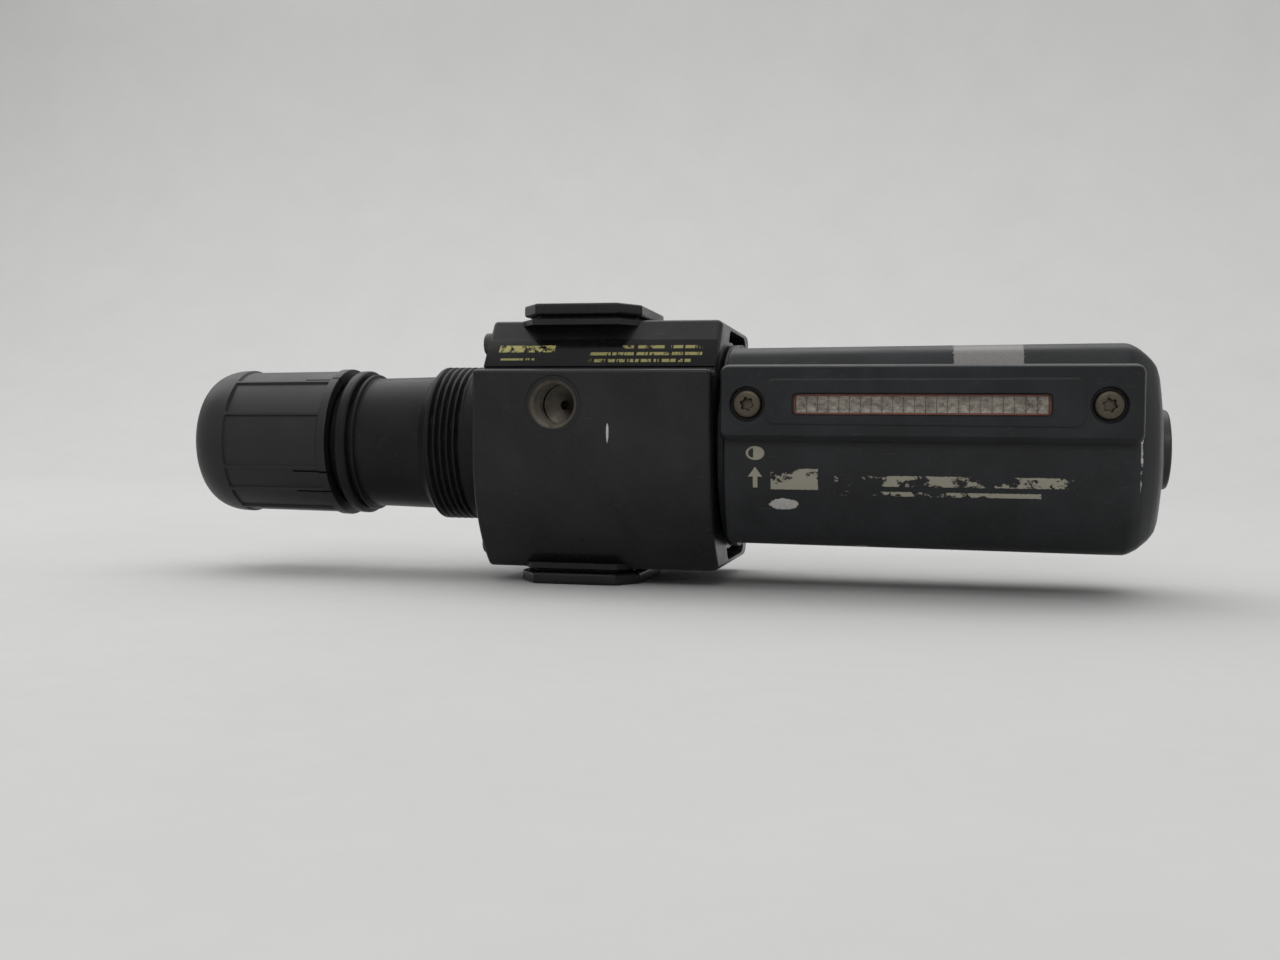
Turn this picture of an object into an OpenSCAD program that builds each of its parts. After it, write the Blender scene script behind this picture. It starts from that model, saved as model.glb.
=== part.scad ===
// Filter-regulator for compressed air, lying on its lower port face.
// Frame: +X from the knob to the drain along the main axis, +Z from the lower port to the upper port,
// -Y towards the side with the gauge port and the sight glass.
// The origin is the centre of the lower port's face.

/* [Body] */
// Distance between the two port faces
port_span = 80; // [76:1:84]
// Height of the body block between the two flanges
body_height = 71; // [68:0.5:72]
// Left end of the body block, measured from the port axis
body_left = 26.5; // [25.5:0.5:28]
// Right end of the body block, measured from the port axis
body_right = 41; // [40:0.5:42]
// Front face of the body, measured from the main axis
body_front = 37; // [35:0.5:38]
// Back face of the body, measured from the main axis
body_back = 40; // [38:0.5:42]
// Radius of the curved lower half of the front
front_arc_r = 46.3; // [46:0.1:48]
// Height of the ledge below the slanted label face, above the main axis
ledge_height = 20.8; // [20:0.2:22]

/* [Ports] */
// Minor radius of the two main port threads
port_r = 7.45; // [6.5:0.05:8]
// Thread length of the two main ports
port_depth = 13; // [11:0.5:14]
// Minor radius of the two gauge port threads
gauge_r = 5.73; // [5.2:0.01:5.9]
// Position of the gauge ports along the main axis
gauge_x = -3; // [-4:0.5:0]
// Height of the gauge ports above the main axis
gauge_up = 11; // [10.9:0.1:12]
// Half length of a port flange along the main axis
flange_half_x = 17.5; // [16.5:0.5:18.5]
// Half depth of a port flange
flange_half_y = 24; // [22:0.5:26]

/* [Bonnet and knob] */
// Crest radius of the panel mounting thread
thread_r = 23.1; // [22.8:0.1:23.5]
// Pitch of the panel mounting thread
thread_pitch = 2; // [1.8:0.1:2.2]
// Number of thread turns
thread_turns = 5; // [4:1:5]
// Radius of the bonnet's neck beside the thread
neck_r = 20.2; // [19.8:0.1:20.6]
// Radius of the chamber for the main spring
spring_chamber_r = 17.2; // [17:0.1:17.4]
// Radius of the knob at its open end
knob_r = 22.6; // [22.2:0.1:23]
// End of the knob, measured from the port axis
knob_end = 122.8; // [122:0.2:124]
// Depth of the knob's grip band below its rim and shoulder
grip_depth = 0.55; // [0.3:0.05:0.7]
// Length of the slots in the knob's rim
slot_length = 11.2; // [8:0.2:13]

/* [Bowl] */
// Half height of the bowl
bowl_half_height = 27.7; // [27.4:0.1:28.6]
// Inner radius of the bowl
bowl_bore_r = 24.8; // [24:0.1:25]
// End of the straight part of the bowl
bowl_straight_end = 150; // [148:0.5:151]
// Closed end of the bowl
bowl_end = 159.8; // [159:0.2:160.4]
// Face of the sight glass cover, measured from the main axis
bezel_front = 38; // [37.6:0.1:39]
// Length of the sight glass cover
bezel_length = 108.2; // [106:0.2:109]
// Length of the window in the cover
window_length = 65.6; // [60:0.2:67]
// Height of the window in the cover
window_height = 5.2; // [4.8:0.1:6]

/* [Hidden] */
$fn = 72;

axis_z = port_span / 2;
half_h = body_height / 2;
eps = 0.01;
cut = 1;

// Label face: foot and top of its slope, as [depth, height] from the main axis
label_foot = [-28, ledge_height];
label_top = [-17.3, half_h];
label_thick = 0.5;

// Port flanges and passages
flange_plate = 3.4;
flange_neck = 6;
flange_neck_in = 2.3;
flange_corner = [5.5, 8];
passage_r = 6.5;
cross_r = 5.5;
cross_z = 18;
passage_end = 13;
gauge_depth = 12;
bleed_r = 1.4;

// Bonnet flange: its front and back depth, its half height, and the radius of its round middle
bonnet_flange_y = [-19.5, 36];
bonnet_flange_half = 33;
bonnet_flange_r = 26.5;
bonnet_screw_hole = 16;

// Bonnet stations along the main axis
flange_in = -body_left + 4;
collar_end = -body_left - 8.5;
thread_end = collar_end - thread_pitch * thread_turns;
chamfer_end = thread_end - 3.6;
neck_end = -69;
ring_end = -70.3;
ring_r = 20.9;
bead_x = [-75.1, -71.2];
skirt_end = -77.6;
skirt_r = 18.6;
spline_x = [-79.6, -75];
spigot_end = -92;
spigot_r = 14;
chamber_end = -63;
keyway_x = [-60, -30];
keyway_half = [18.7, 2.2];
groove_depth = 1.1;
screw_head_r = 3.25;
screw_head_h = 2.8;
screw_r = 2;

// Adjusting screw, its washer and its ring
journal_r = 5;
running = 0.06;
hex_r = 4.6;
collar_x = [-61.9, -60.2];
collar_r = 9;
nut_thread_r = 4.5;
hex_end = -93;
screw_tip = -34;
end_stub_r = 3.9;

// Knob stations
knob_open = -77.4;
knob_shoulder = -112.5;
knob_taper = 0.45;
knob_cavity_r = 19.2;
knob_web_in = -110;
knob_web_out = -114;
knob_ring_r = 13.5;
knob_ring_depth = 7.8;
hub_end = -100;
hub_r = 8.5;
grip_x = [-111, -80];
rib_w = 0.7;
rib_angles = [-42, -21, 22, 55];
slot_angles = [-42, -24, 59];
slot_w = 0.5;
disc_r = 14.45;
lock_teeth = 24;
tooth_w = 1.6;

// Spring nut and diaphragm parts
nut_x = -58.5;
nut_plate = 4.5;
nut_hub = 9.5;
nut_r = 16.5;
nut_hub_r = 8.2;
nut_key_half = [18.3, 1.9];
spring_wire = 1.7;
diaphragm_t = 0.8;
diaphragm_r = 24.9;
plate_face = -25.2;
plate_r = 15.2;
plate_stem_r = 3.6;

// Valve
baffle_x = [-14.5, -13];
seat_right = -4;
seat_r = 9;
pin_r = 1.5;
pin_left = -18.4;
valve_face = -3.94;
valve_r = 7.2;
stem_r = 3;
stem_end = 11.4;

// Body cavities
chamber_r = 21;
chamber_neck_r = 19;
web_bore_r = 9.05;
web_left = -10;
web_right = 14;
socket_r = 24.3;
lug_groove_r = 27.8;
lip_r = 25.3;
lug_left = 28.6;
lug_right = 33.4;
lugs = 3;
lug_r = 27.3;
lug_angle = 22;
slot_angle = 28;
bowl_turn = 45;
pocket_y = [-5, 32];
pocket_depth = 9;

// Filter
filter_end = [14.6, 82];
element_x = [19.05, 72];
element_cap = 1.95;

// Bowl stations
bowl_left = body_right + 0.6;
neck_nose = 23;
shoulder_end = bowl_left + 2.2;
bezel_x0 = bowl_left + 1.6;
bezel_mid = bezel_x0 + bezel_length / 2;
bezel_low = 1.3;
bezel_high = 21.7;
pad_front = 34.2;
pad_back = 18;
window_up = 11.15;
screw_span = 92;
screw_mid = bezel_mid - 0.6;
window_mid = bezel_mid - 1.5;
bowl_bulge_r = 43;
bowl_bulge_y = [9, -13];
cone_x = [141, 148.6];
cone_r = 15;
drain_hole_r = 8.05;
counterbore_r = 4.5;
cover_head_r = 3.85;
counterbore_floor = pad_front + 1.2;
lens_front = 35.1;
lens_back = 30.6;
prisms = 23;

// Automatic drain
cage_x = [102, 146.6];
cage_r = [17.2, 15.8];
float_x = [112, 134];
float_r = 15.2;
standpipe_r = 4.8;
flange_x = [146.7, 150.4];
stem_x = [150.3, 162.3];
drain_stem_r = 8;
drain_r = 4.283;
drain_depth = 8;
drain_ring_x = 153;

// Screw places in the bonnet flange, as [depth, height] from the main axis
bonnet_screw_places = [[-15.5, 29], [-15.5, -29], [31.5, 28.5], [31.5, -28.5]];

// ---------- helpers ----------

// Puts a shape drawn in the depth-height plane at a station along the main axis
module at_x(x) {
    translate([x, 0, axis_z]) rotate([90, 0, 90]) children();
}

module rod(x0, x1, r) {
    at_x(x0) cylinder(r = r, h = x1 - x0);
}

module cone(x0, x1, r0, r1) {
    at_x(x0) cylinder(r1 = r0, r2 = r1, h = x1 - x0);
}

module tube(x0, x1, outer, inner) {
    difference() {
        rod(x0, x1, outer);
        rod(x0 - cut, x1 + cut, inner);
    }
}

module slab(x0, x1) {
    at_x(x0) linear_extrude(x1 - x0) children();
}

// A solid of revolution about the main axis, from [radius, x] points
module turned(points) {
    at_x(0) rotate_extrude() polygon(points);
}

// A box given by its limits, with height measured from the main axis
module block(x0, x1, y0, y1, z0, z1) {
    translate([x0, y0, axis_z + z0]) cube([x1 - x0, y1 - y0, z1 - z0]);
}

module rounded_rect(x0, x1, y0, y1, r) {
    translate([x0 + r, y0]) square([x1 - x0 - 2 * r, y1 - y0]);
    translate([x0, y0 + r]) square([x1 - x0, y1 - y0 - 2 * r]);
    for (x = [x0 + r, x1 - r], y = [y0 + r, y1 - r]) translate([x, y]) circle(r = r);
}

// A plate facing front, drawn as length and height, between two depths
module front_plate(y_front, y_back) {
    translate([0, -y_back, axis_z]) rotate([90, 0, 0]) linear_extrude(y_front - y_back) children();
}

module o_ring(x, centre_r, wire_r) {
    at_x(x) rotate_extrude() translate([centre_r, 0]) circle(r = wire_r, $fn = 32);
}

function lerp(a, b, t) = a + (b - a) * t;

// Position along a compression spring whose first and last turns lie closed
function coil_x(x0, x1, wire, turns, u) =
    let (closed = 2.08 * wire, low = x0 + wire + closed, high = x1 - wire - closed)
    u < 1 ? lerp(x0 + wire, low, u)
    : u > turns - 1 ? lerp(high, x1 - wire, u - turns + 1)
    : lerp(low, high, (u - 1) / (turns - 2));

// A round wire wound about the main axis
module coil(x0, x1, mean, wire, turns, sides = 8, steps = 22) {
    n = round(turns * steps);
    points = [
        for (i = [0:n], k = [0:sides - 1])
            let (
                u = turns * i / n,
                a = 360 * u,
                b = 360 * k / sides,
                r = mean + wire * cos(b)
            )
            [coil_x(x0, x1, wire, turns, u) + wire * sin(b), r * cos(a), axis_z + r * sin(a)]
    ];
    start = [for (k = [0:sides - 1]) k];
    stop = [for (k = [sides - 1:-1:0]) n * sides + k];
    walls = [
        for (i = [0:n - 1], k = [0:sides - 1])
            let (m = (k + 1) % sides, p = i * sides, q = p + sides)
            [p + k, q + k, q + m, p + m]
    ];
    polyhedron(points = points, faces = concat([start], walls, [stop]), convexity = 10);
}

// ---------- body ----------

// Section of the body: flat upper front, slanted label face, big curve below, flat back
module body_section() {
    intersection() {
        rounded_rect(-body_front, body_back, -half_h, half_h, 4);
        union() {
            intersection() {
                translate([front_arc_r - body_front, 0]) circle(r = front_arc_r, $fn = 120);
                translate([-body_front, -half_h]) square([body_front + body_back, half_h]);
            }
            polygon([
                [-body_front, 0], [-body_front, ledge_height], label_foot,
                label_top, [body_back, half_h], [body_back, 0]
            ]);
        }
    }
}

module flange_outline(inset) {
    x = flange_half_x - inset;
    y = flange_half_y - inset;
    cx = flange_corner[0];
    cy = flange_corner[1];
    polygon([
        [-x, -y + cy], [-x + cx, -y], [x - cx, -y], [x, -y + cy],
        [x, y - cy], [x - cx, y], [-x + cx, y], [-x, y - cy]
    ]);
}

// Flange around a main port: a plate on a narrower neck
module port_flange() {
    linear_extrude(flange_plate) flange_outline(0);
    translate([0, 0, flange_plate - eps]) linear_extrude(flange_neck) flange_outline(flange_neck_in);
}

// Outline shared by the bonnet flange and the pocket it sits in
module bonnet_flange_outline(clear) {
    half = bonnet_flange_half + clear;
    rounded_rect(bonnet_flange_y[0] - clear, bonnet_flange_y[1] + clear, -half, half, 4);
    circle(r = bonnet_flange_r + clear);
}

// Main port with the passage that turns along the main axis
module port_passage(x_to) {
    translate([0, 0, -port_depth]) cylinder(r = port_r, h = port_depth + cut);
    translate([0, 0, passage_end - axis_z])
        cylinder(r = passage_r, h = axis_z - passage_end - port_depth + eps);
    translate([min(0, x_to), 0, cross_z - axis_z]) rotate([0, 90, 0]) cylinder(r = cross_r, h = abs(x_to));
}

module body() {
    color([0.07, 0.07, 0.08]) difference() {
        union() {
            slab(-body_left, body_right) body_section();
            port_flange();
            translate([0, 0, port_span]) mirror([0, 0, 1]) port_flange();
        }
        body_cavities();
        body_ports();
        for (p = bonnet_screw_places)
            at_x(flange_in - cut) translate(p) cylinder(r = screw_r + 0.05, h = bonnet_screw_hole);
    }
}

module body_cavities() {
    slab(-body_left - cut, flange_in) bonnet_flange_outline(0.15);
    rod(flange_in - eps, flange_in + diaphragm_t, diaphragm_r + 0.2);
    rod(flange_in, baffle_x[1], chamber_r);
    rod(baffle_x[1] - eps, web_left, chamber_neck_r);
    rod(web_left - eps, web_right + eps, web_bore_r);
    rod(web_right, lug_left + eps, socket_r);
    rod(lug_left, lug_right, lug_groove_r);
    rod(lug_right - eps, body_right + cut, lip_r);
    for (i = [0:lugs - 1])
        bayonet_sector(
            lug_right - cut, body_right + cut, lug_groove_r - 0.1, slot_angle, i * 360 / lugs + bowl_turn
        );
    corner_pockets();
}

// A sector of a disc about the main axis, centred on an angle
module bayonet_sector(x0, x1, r, width, angle) {
    at_x(x0) rotate([0, 0, angle - width / 2]) rotate_extrude(angle = width) square([r, x1 - x0]);
}

// Cored pockets in the corners of the right end face, behind the bowl's collar
module corner_pockets() {
    for (side = [-1, 1])
        slab(body_right - pocket_depth, body_right + cut) scale([1, side]) difference() {
            rounded_rect(pocket_y[0], pocket_y[1], 8, half_h - 1.8, 5);
            circle(r = lug_groove_r + 2.4);
        }
}

module body_ports() {
    translate([0, 0, port_span]) port_passage(web_right + 2);
    mirror([0, 0, 1]) port_passage(web_left - 1);
    gauge_port(-1, body_front);
    gauge_port(1, body_back);
}

// Gauge port on the front or the back, with its drilling to the outlet chamber
module gauge_port(side, face) {
    bleed_end = 13;
    translate([gauge_x, side * face, axis_z + gauge_up]) rotate([-side * 90, 0, 0]) {
        translate([0, 0, -gauge_depth]) cylinder(r = gauge_r, h = gauge_depth + cut);
        translate([0, 0, bleed_end - face]) cylinder(r = bleed_r, h = face - bleed_end - gauge_depth + cut);
    }
    translate([web_left - cut, side * (bleed_end + 1), axis_z + gauge_up]) rotate([0, 90, 0])
        cylinder(r = bleed_r, h = gauge_x - web_left + cut);
}

module label_plate() {
    slope = label_top - label_foot;
    along = slope / norm(slope);
    out = [-along[1], along[0]];
    low = label_foot + 1.2 * along + 0.02 * out;
    high = low + 9.8 * along;
    color([0.03, 0.03, 0.035]) slab(-body_left + 0.4, body_right - 0.4)
        polygon([low, high, high + label_thick * out, low + label_thick * out]);
}

module gauge_plug() {
    thread = 9;
    place = [gauge_x, body_back, axis_z + gauge_up];
    color([0.35, 0.35, 0.36]) translate(place) rotate([-90, 0, 0]) difference() {
        union() {
            translate([0, 0, -thread]) cylinder(r = gauge_r - 0.05, h = thread + 0.02);
            cylinder(r = gauge_r + 1.87, h = 2);
        }
        translate([0, 0, -5]) cylinder(r = 3.46, h = 8, $fn = 6);
    }
}

// ---------- bonnet ----------

module bonnet() {
    color([0.09, 0.09, 0.1]) difference() {
        union() {
            slab(-body_left, flange_in) bonnet_flange_outline(0);
            rod(thread_end, -body_left + eps, thread_r);
            cone(chamfer_end, thread_end + eps, neck_r + 0.1, thread_r - 0.3);
            cone(neck_end, chamfer_end + eps, neck_r - 0.6, neck_r);
            rod(ring_end, neck_end + eps, ring_r);
            rod(bead_x[1] - eps, ring_end + eps, ring_r - 1);
            bonnet_bead();
            rod(skirt_end, bead_x[0] + 1, skirt_r);
            rod(spigot_end, skirt_end + 1, spigot_r);
            lock_splines(spline_x[0], spline_x[1], spigot_r - 0.5, spigot_r + 3.6, 0);
        }
        rod(chamber_end, 0, spring_chamber_r);
        rod(spigot_end - cut, chamber_end + eps, journal_r + running);
        thread_grooves();
        block(keyway_x[0], keyway_x[1], -keyway_half[0], keyway_half[0], -keyway_half[1], keyway_half[1]);
        for (p = bonnet_screw_places)
            at_x(-body_left - cut) translate(p) cylinder(r = screw_r + 0.3, h = 6);
    }
}

// Rounded bead at the end of the neck, just under the knob
module bonnet_bead() {
    turned([
        [spigot_r - 1, bead_x[0]], [20.6, bead_x[0]], [21.5, bead_x[0] + 0.4],
        [21.95, bead_x[0] + 1.2], [22, bead_x[0] + 2.2], [22, bead_x[1]],
        [spigot_r - 1, bead_x[1]]
    ]);
}

module thread_grooves() {
    half_w = 0.375 * thread_pitch;
    for (i = [0:thread_turns - 1]) {
        x = collar_end - thread_pitch * (i + 0.5);
        turned([[thread_r + eps, x - half_w], [thread_r + eps, x + half_w], [thread_r - groove_depth, x]]);
    }
}

// Teeth around the main axis, straight and of constant width
module lock_splines(x0, x1, r0, r1, phase) {
    for (i = [0:lock_teeth - 1])
        at_x(x0) rotate([0, 0, (i + phase) * 360 / lock_teeth]) translate([r0, -tooth_w / 2, 0])
            cube([r1 - r0, tooth_w, x1 - x0]);
}

module bonnet_screws() {
    shank = 20;
    color([0.25, 0.24, 0.23]) for (p = bonnet_screw_places)
        at_x(-body_left - screw_head_h) translate(p) difference() {
            union() {
                cylinder(r = screw_head_r, h = screw_head_h);
                cylinder(r = screw_r, h = shank);
            }
            translate([0, 0, -cut]) cylinder(r = 1.73, h = screw_head_h - 0.2, $fn = 6);
        }
}

// ---------- knob and adjusting screw ----------

module adjusting_screw() {
    stub_end = knob_web_out + 0.2;
    color([0.62, 0.62, 0.6]) {
        rod(knob_web_out - 2.4, stub_end, end_stub_r);
        at_x(stub_end - eps) cylinder(r = hex_r, h = hex_end - stub_end + 2 * eps, $fn = 6);
        rod(hex_end, chamber_end + cut, journal_r);
        rod(collar_x[0], collar_x[1], collar_r);
        rod(chamber_end + cut - eps, screw_tip, nut_thread_r);
    }
}

module thrust_washer() {
    color([0.75, 0.62, 0.32]) tube(chamber_end + 0.1, collar_x[0] - 0.05, collar_r, journal_r + 0.05);
}

module retaining_ring() {
    x0 = knob_web_out - 1.4;
    x1 = x0 + 1;
    color([0.3, 0.3, 0.32]) difference() {
        tube(x0, x1, 7.4, end_stub_r + 0.05);
        block(x0 - cut, x1 + cut, -1.2, 1.2, 3, 9);
    }
}

module knob() {
    color([0.05, 0.05, 0.055]) difference() {
        union() {
            difference() {
                knob_shell();
                rod(knob_web_in, knob_open + cut, knob_cavity_r);
            }
            rod(knob_web_in - eps, hub_end, hub_r);
            knob_teeth();
        }
        rod(knob_web_out - knob_ring_depth, knob_web_out, knob_ring_r);
        rod(-knob_end - cut, knob_web_out - knob_ring_depth + 0.1, disc_r + 0.1);
        at_x(knob_web_out - cut) cylinder(r = hex_r + 0.35, h = 16, $fn = 6);
        knob_slots();
    }
}

// Outside of the knob: a slightly tapered grip with a rounded end
module knob_shell() {
    round_r = knob_end + knob_shoulder;
    top_r = knob_r - knob_taper;
    difference() {
        turned(concat(
            [[0, knob_open], [knob_r, knob_open], [top_r, knob_shoulder]],
            [for (a = [15:15:90]) [top_r - round_r * (1 - cos(a)), knob_shoulder - round_r * sin(a)]],
            [[0, -knob_end]]
        ));
        difference() {
            tube(grip_x[0], grip_x[1], knob_r + cut, knob_r - grip_depth - 0.2);
            knob_ribs();
        }
    }
}

// Ribs that stay between the recessed panels of the grip band
module knob_ribs() {
    for (half = [0, 180], a = rib_angles)
        at_x(grip_x[0] - cut) rotate([0, 0, 180 - a + half]) translate([knob_r - 2, -rib_w / 2, 0])
            cube([4, rib_w, grip_x[1] - grip_x[0] + 2 * cut]);
}

module knob_slots() {
    for (half = [0, 180], a = slot_angles)
        at_x(knob_open - slot_length) rotate([0, 0, 180 - a + half]) translate([knob_r - 1.5, -slot_w / 2, 0])
            cube([3, slot_w, slot_length + cut]);
}

// Teeth inside the knob that meet the bonnet's teeth when the knob is pushed in
module knob_teeth() {
    x0 = knob_open - 5.3;
    x1 = knob_open - 2.6;
    tip_r = spigot_r + 0.7;
    difference() {
        lock_splines(x0, x1, tip_r, knob_cavity_r + 0.4, 0.5);
        rod(x0 - cut, x1 + cut, tip_r);
    }
}

module knob_end_disc() {
    color([0.04, 0.04, 0.045]) rod(-knob_end - 0.5, knob_web_out - knob_ring_depth + 0.05, disc_r);
}

module spring_nut() {
    color([0.66, 0.6, 0.42]) difference() {
        union() {
            rod(nut_x, nut_x + nut_plate, nut_r);
            rod(nut_x + nut_plate - eps, nut_x + nut_hub, nut_hub_r);
            block(
                nut_x, nut_x + nut_plate, -nut_key_half[0], nut_key_half[0], -nut_key_half[1], nut_key_half[1]
            );
        }
        rod(nut_x - cut, nut_x + nut_hub + cut, nut_thread_r + running);
    }
}

module main_spring() {
    color([0.55, 0.56, 0.58]) coil(nut_x + nut_plate + 0.1, plate_face - 0.1, 11.6, spring_wire, 6);
}

// ---------- diaphragm and valve ----------

module diaphragm() {
    color([0.12, 0.12, 0.12]) tube(flange_in, flange_in + diaphragm_t, diaphragm_r, plate_stem_r + 0.35);
}

module diaphragm_plate() {
    color([0.7, 0.7, 0.72]) difference() {
        union() {
            rod(plate_face, flange_in - 0.2, plate_r);
            rod(plate_face - 1.6, plate_face + 0.1, 9);
            rod(flange_in - 0.3, flange_in + 1.5, plate_stem_r);
        }
        rod(plate_face - 3, flange_in + 3, 1.1);
    }
}

module relief_seat() {
    left = flange_in + 1.52;
    color([0.72, 0.6, 0.3]) difference() {
        union() {
            rod(left, left + 1.38, 8.5);
            rod(left + 1.28, pin_left - 0.1, 3.4);
        }
        rod(left - cut, pin_left + cut, 0.9);
    }
}

module aspirator_baffle() {
    color([0.68, 0.69, 0.7]) difference() {
        rod(baffle_x[0], baffle_x[1], chamber_r - 0.2);
        rod(baffle_x[0] - cut, baffle_x[1] + cut, pin_r + running);
        for (i = [0:5])
            at_x(baffle_x[0] - cut) rotate([0, 0, 60 * i]) translate([12, 0, 0]) cylinder(r = 2.6, h = 4);
    }
}

module valve_seat() {
    color([0.72, 0.6, 0.3]) difference() {
        rod(web_left, seat_right, seat_r);
        rod(web_left - cut, seat_right + cut, 5);
        tube(web_left + 1.8, web_left + 3.6, seat_r + 1, seat_r - 1.5);
    }
}

module valve_seat_o_ring() {
    color([0.08, 0.08, 0.08]) o_ring(web_left + 2.7, 8.27, 0.75);
}

module valve_pin() {
    color([0.74, 0.74, 0.75]) rod(pin_left, valve_face - eps, pin_r);
}

module valve_disc() {
    color([0.1, 0.1, 0.1]) tube(valve_face, valve_face + 1.64, valve_r, 1.7);
}

module valve_stem() {
    color([0.72, 0.6, 0.3]) {
        rod(valve_face, valve_face + 1.74, 1.6);
        rod(valve_face + 1.66, valve_face + 3.14, valve_r);
        rod(valve_face + 3.04, stem_end, stem_r);
    }
}

module valve_spring() {
    color([0.6, 0.6, 0.62]) coil(valve_face + 3.34, 6.9, 5.1, 0.45, 6, 6, 18);
}

module valve_guide() {
    left = 7;
    socket_x = filter_end[0] - 0.1;
    color([0.86, 0.86, 0.82]) difference() {
        union() {
            rod(left, web_right + 0.1, seat_r);
            rod(web_right, web_right + 3, 12);
        }
        rod(left - cut, 13, stem_r + running);
        for (i = [0:3])
            at_x(left - cut) rotate([0, 0, 90 * i + 45]) translate([4.6, -1.5, 0]) cube([4, 3, 12]);
        rod(socket_x, web_right + 4, stem_r + 0.04);
    }
}

// ---------- filter ----------

module deflector() {
    vanes = 12;
    color([0.86, 0.86, 0.82]) {
        tube(web_right + 3.05, element_x[0] - 0.05, 20.4, 9.5);
        for (i = [0:vanes - 1])
            at_x(element_x[0] - 0.15) rotate([0, 0, i * 360 / vanes]) translate([16.2, -0.6, 0])
                rotate([25, 0, 0]) cube([3.9, 1.2, 5]);
    }
}

module filter_rod() {
    color([0.72, 0.72, 0.74]) rod(filter_end[0], filter_end[1], stem_r);
}

module filter_element() {
    color([0.92, 0.92, 0.9]) {
        tube(element_x[0], element_x[0] + element_cap, 15, 9.8);
        tube(element_x[0] + element_cap - 0.1, element_x[1] - element_cap + 0.1, 14.2, 10.6);
        tube(element_x[1] - element_cap, element_x[1], 15, 9.8);
    }
}

module element_retainer() {
    left = element_x[1] + 0.05;
    hub = 80;
    color([0.86, 0.86, 0.82]) difference() {
        union() {
            rod(left, left + element_cap, 19.6);
            rod(left + element_cap - 0.1, hub, 6);
        }
        rod(left - cut, hub + cut, stem_r + 0.04);
    }
}

// ---------- bowl ----------

// Section of the bowl: round top and bottom, with a bulged front and back
module bowl_section() {
    intersection() {
        rounded_rect(-34, 34, -bowl_half_height, bowl_half_height, 16);
        translate([bowl_bulge_y[0], 0]) circle(r = bowl_bulge_r, $fn = 120);
        translate([bowl_bulge_y[1], 0]) circle(r = bowl_bulge_r, $fn = 120);
    }
}

// Envelope that rounds off the closed end of the bowl
module bowl_envelope() {
    left = 40;
    wide = 46;
    end = bowl_straight_end;
    turned([
        [0, left], [wide, left], [wide, end - 10], [38, end - 3], [33, end + 0.5],
        [28.4, end + 2], [26.6, end + 3.6], [24, end + 5.8], [11, bowl_end], [0, bowl_end]
    ]);
}

module bowl() {
    color([0.09, 0.1, 0.12]) difference() {
        union() {
            intersection() {
                slab(shoulder_end - eps, bowl_end + cut) bowl_section();
                bowl_envelope();
            }
            rod(bowl_left, shoulder_end, 29.4);
            rod(lug_left + 0.4, bowl_left + eps, lip_r - 0.3);
            rod(neck_nose, lug_left + 0.5, socket_r - 0.3);
            for (i = [0:lugs - 1])
                bayonet_sector(lug_left + 0.4, lug_right - 0.4, lug_r, lug_angle, i * 360 / lugs);
            front_plate(pad_front, pad_back) cover_outline();
        }
        bowl_cavity();
        bowl_window();
    }
}

module bowl_cavity() {
    rod(neck_nose - cut, shoulder_end + 3, 21);
    rod(shoulder_end + 2.9, cone_x[0], bowl_bore_r);
    cone(cone_x[0] - eps, cone_x[1], bowl_bore_r, cone_r);
    rod(cone_x[1] - 0.1, stem_x[0] + 0.3, cone_r);
    rod(stem_x[0] + 0.2, bowl_end + cut, drain_hole_r);
    tube(24.6, 26.6, socket_r + 0.7, 22.5);
}

module bowl_window() {
    front_plate(pad_front + cut, lens_back - 2.2) window_outline(2, 2);
    front_plate(lens_back - 0.6, 15) window_outline(-1, 1);
    for (side = [-1, 1])
        translate([screw_mid + side * screw_span / 2, -27, axis_z + window_up]) rotate([90, 0, 0])
            cylinder(r = screw_r + 0.05, h = 10);
}

module bowl_o_ring() {
    color([0.08, 0.08, 0.08]) o_ring(25.6, 23.37, 0.85);
}

// Outline of the sight glass cover and of the pad behind it
module cover_outline() {
    rounded_rect(bezel_x0, bezel_x0 + bezel_length, bezel_low, bezel_high, 2.5);
}

module bezel() {
    color([0.1, 0.11, 0.13]) difference() {
        front_plate(bezel_front, pad_front) cover_outline();
        front_plate(bezel_front + cut, pad_front - cut) window_outline(0, 1);
        front_plate(pad_front + 2, pad_front - cut) window_outline(2, 2);
        for (side = [-1, 1])
            translate([screw_mid + side * screw_span / 2, 0, axis_z + window_up]) rotate([90, 0, 0]) {
                translate([0, 0, counterbore_floor]) cylinder(r = counterbore_r, h = 5);
                translate([0, 0, pad_front - cut]) cylinder(r = screw_r + 0.3, h = 5);
            }
    }
}

// Window outline grown on all sides
module window_outline(grow, r) {
    x = window_length / 2 + grow;
    z = window_height / 2 + grow;
    rounded_rect(window_mid - x, window_mid + x, window_up - z, window_up + z, r);
}

module bezel_screws() {
    shank = 7;
    color([0.42, 0.38, 0.33]) for (side = [-1, 1])
        translate([screw_mid + side * screw_span / 2, -counterbore_floor, axis_z + window_up])
            rotate([90, 0, 0]) difference() {
                union() {
                    cylinder(r = cover_head_r, h = 2.3);
                    translate([0, 0, -shank]) cylinder(r = screw_r, h = shank + 0.1);
                }
                translate([0, 0, 0.9]) cylinder(r = 1.5, h = 2, $fn = 6);
            }
}

module sight_lens() {
    margin = 1.5;
    pitch = (window_length - 2 * margin) / prisms;
    ridge = 1.3;
    tall = 4;
    color([0.85, 0.8, 0.75, 0.6]) {
        front_plate(lens_front, lens_back) window_outline(1.7, 1.7);
        for (i = [0:prisms - 1])
            translate([
                window_mid - window_length / 2 + margin + pitch * i,
                -lens_back - 0.05,
                axis_z + window_up - tall / 2
            ]) linear_extrude(tall) polygon([[0, 0], [pitch, 0], [pitch / 2, ridge]]);
    }
}

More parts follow.
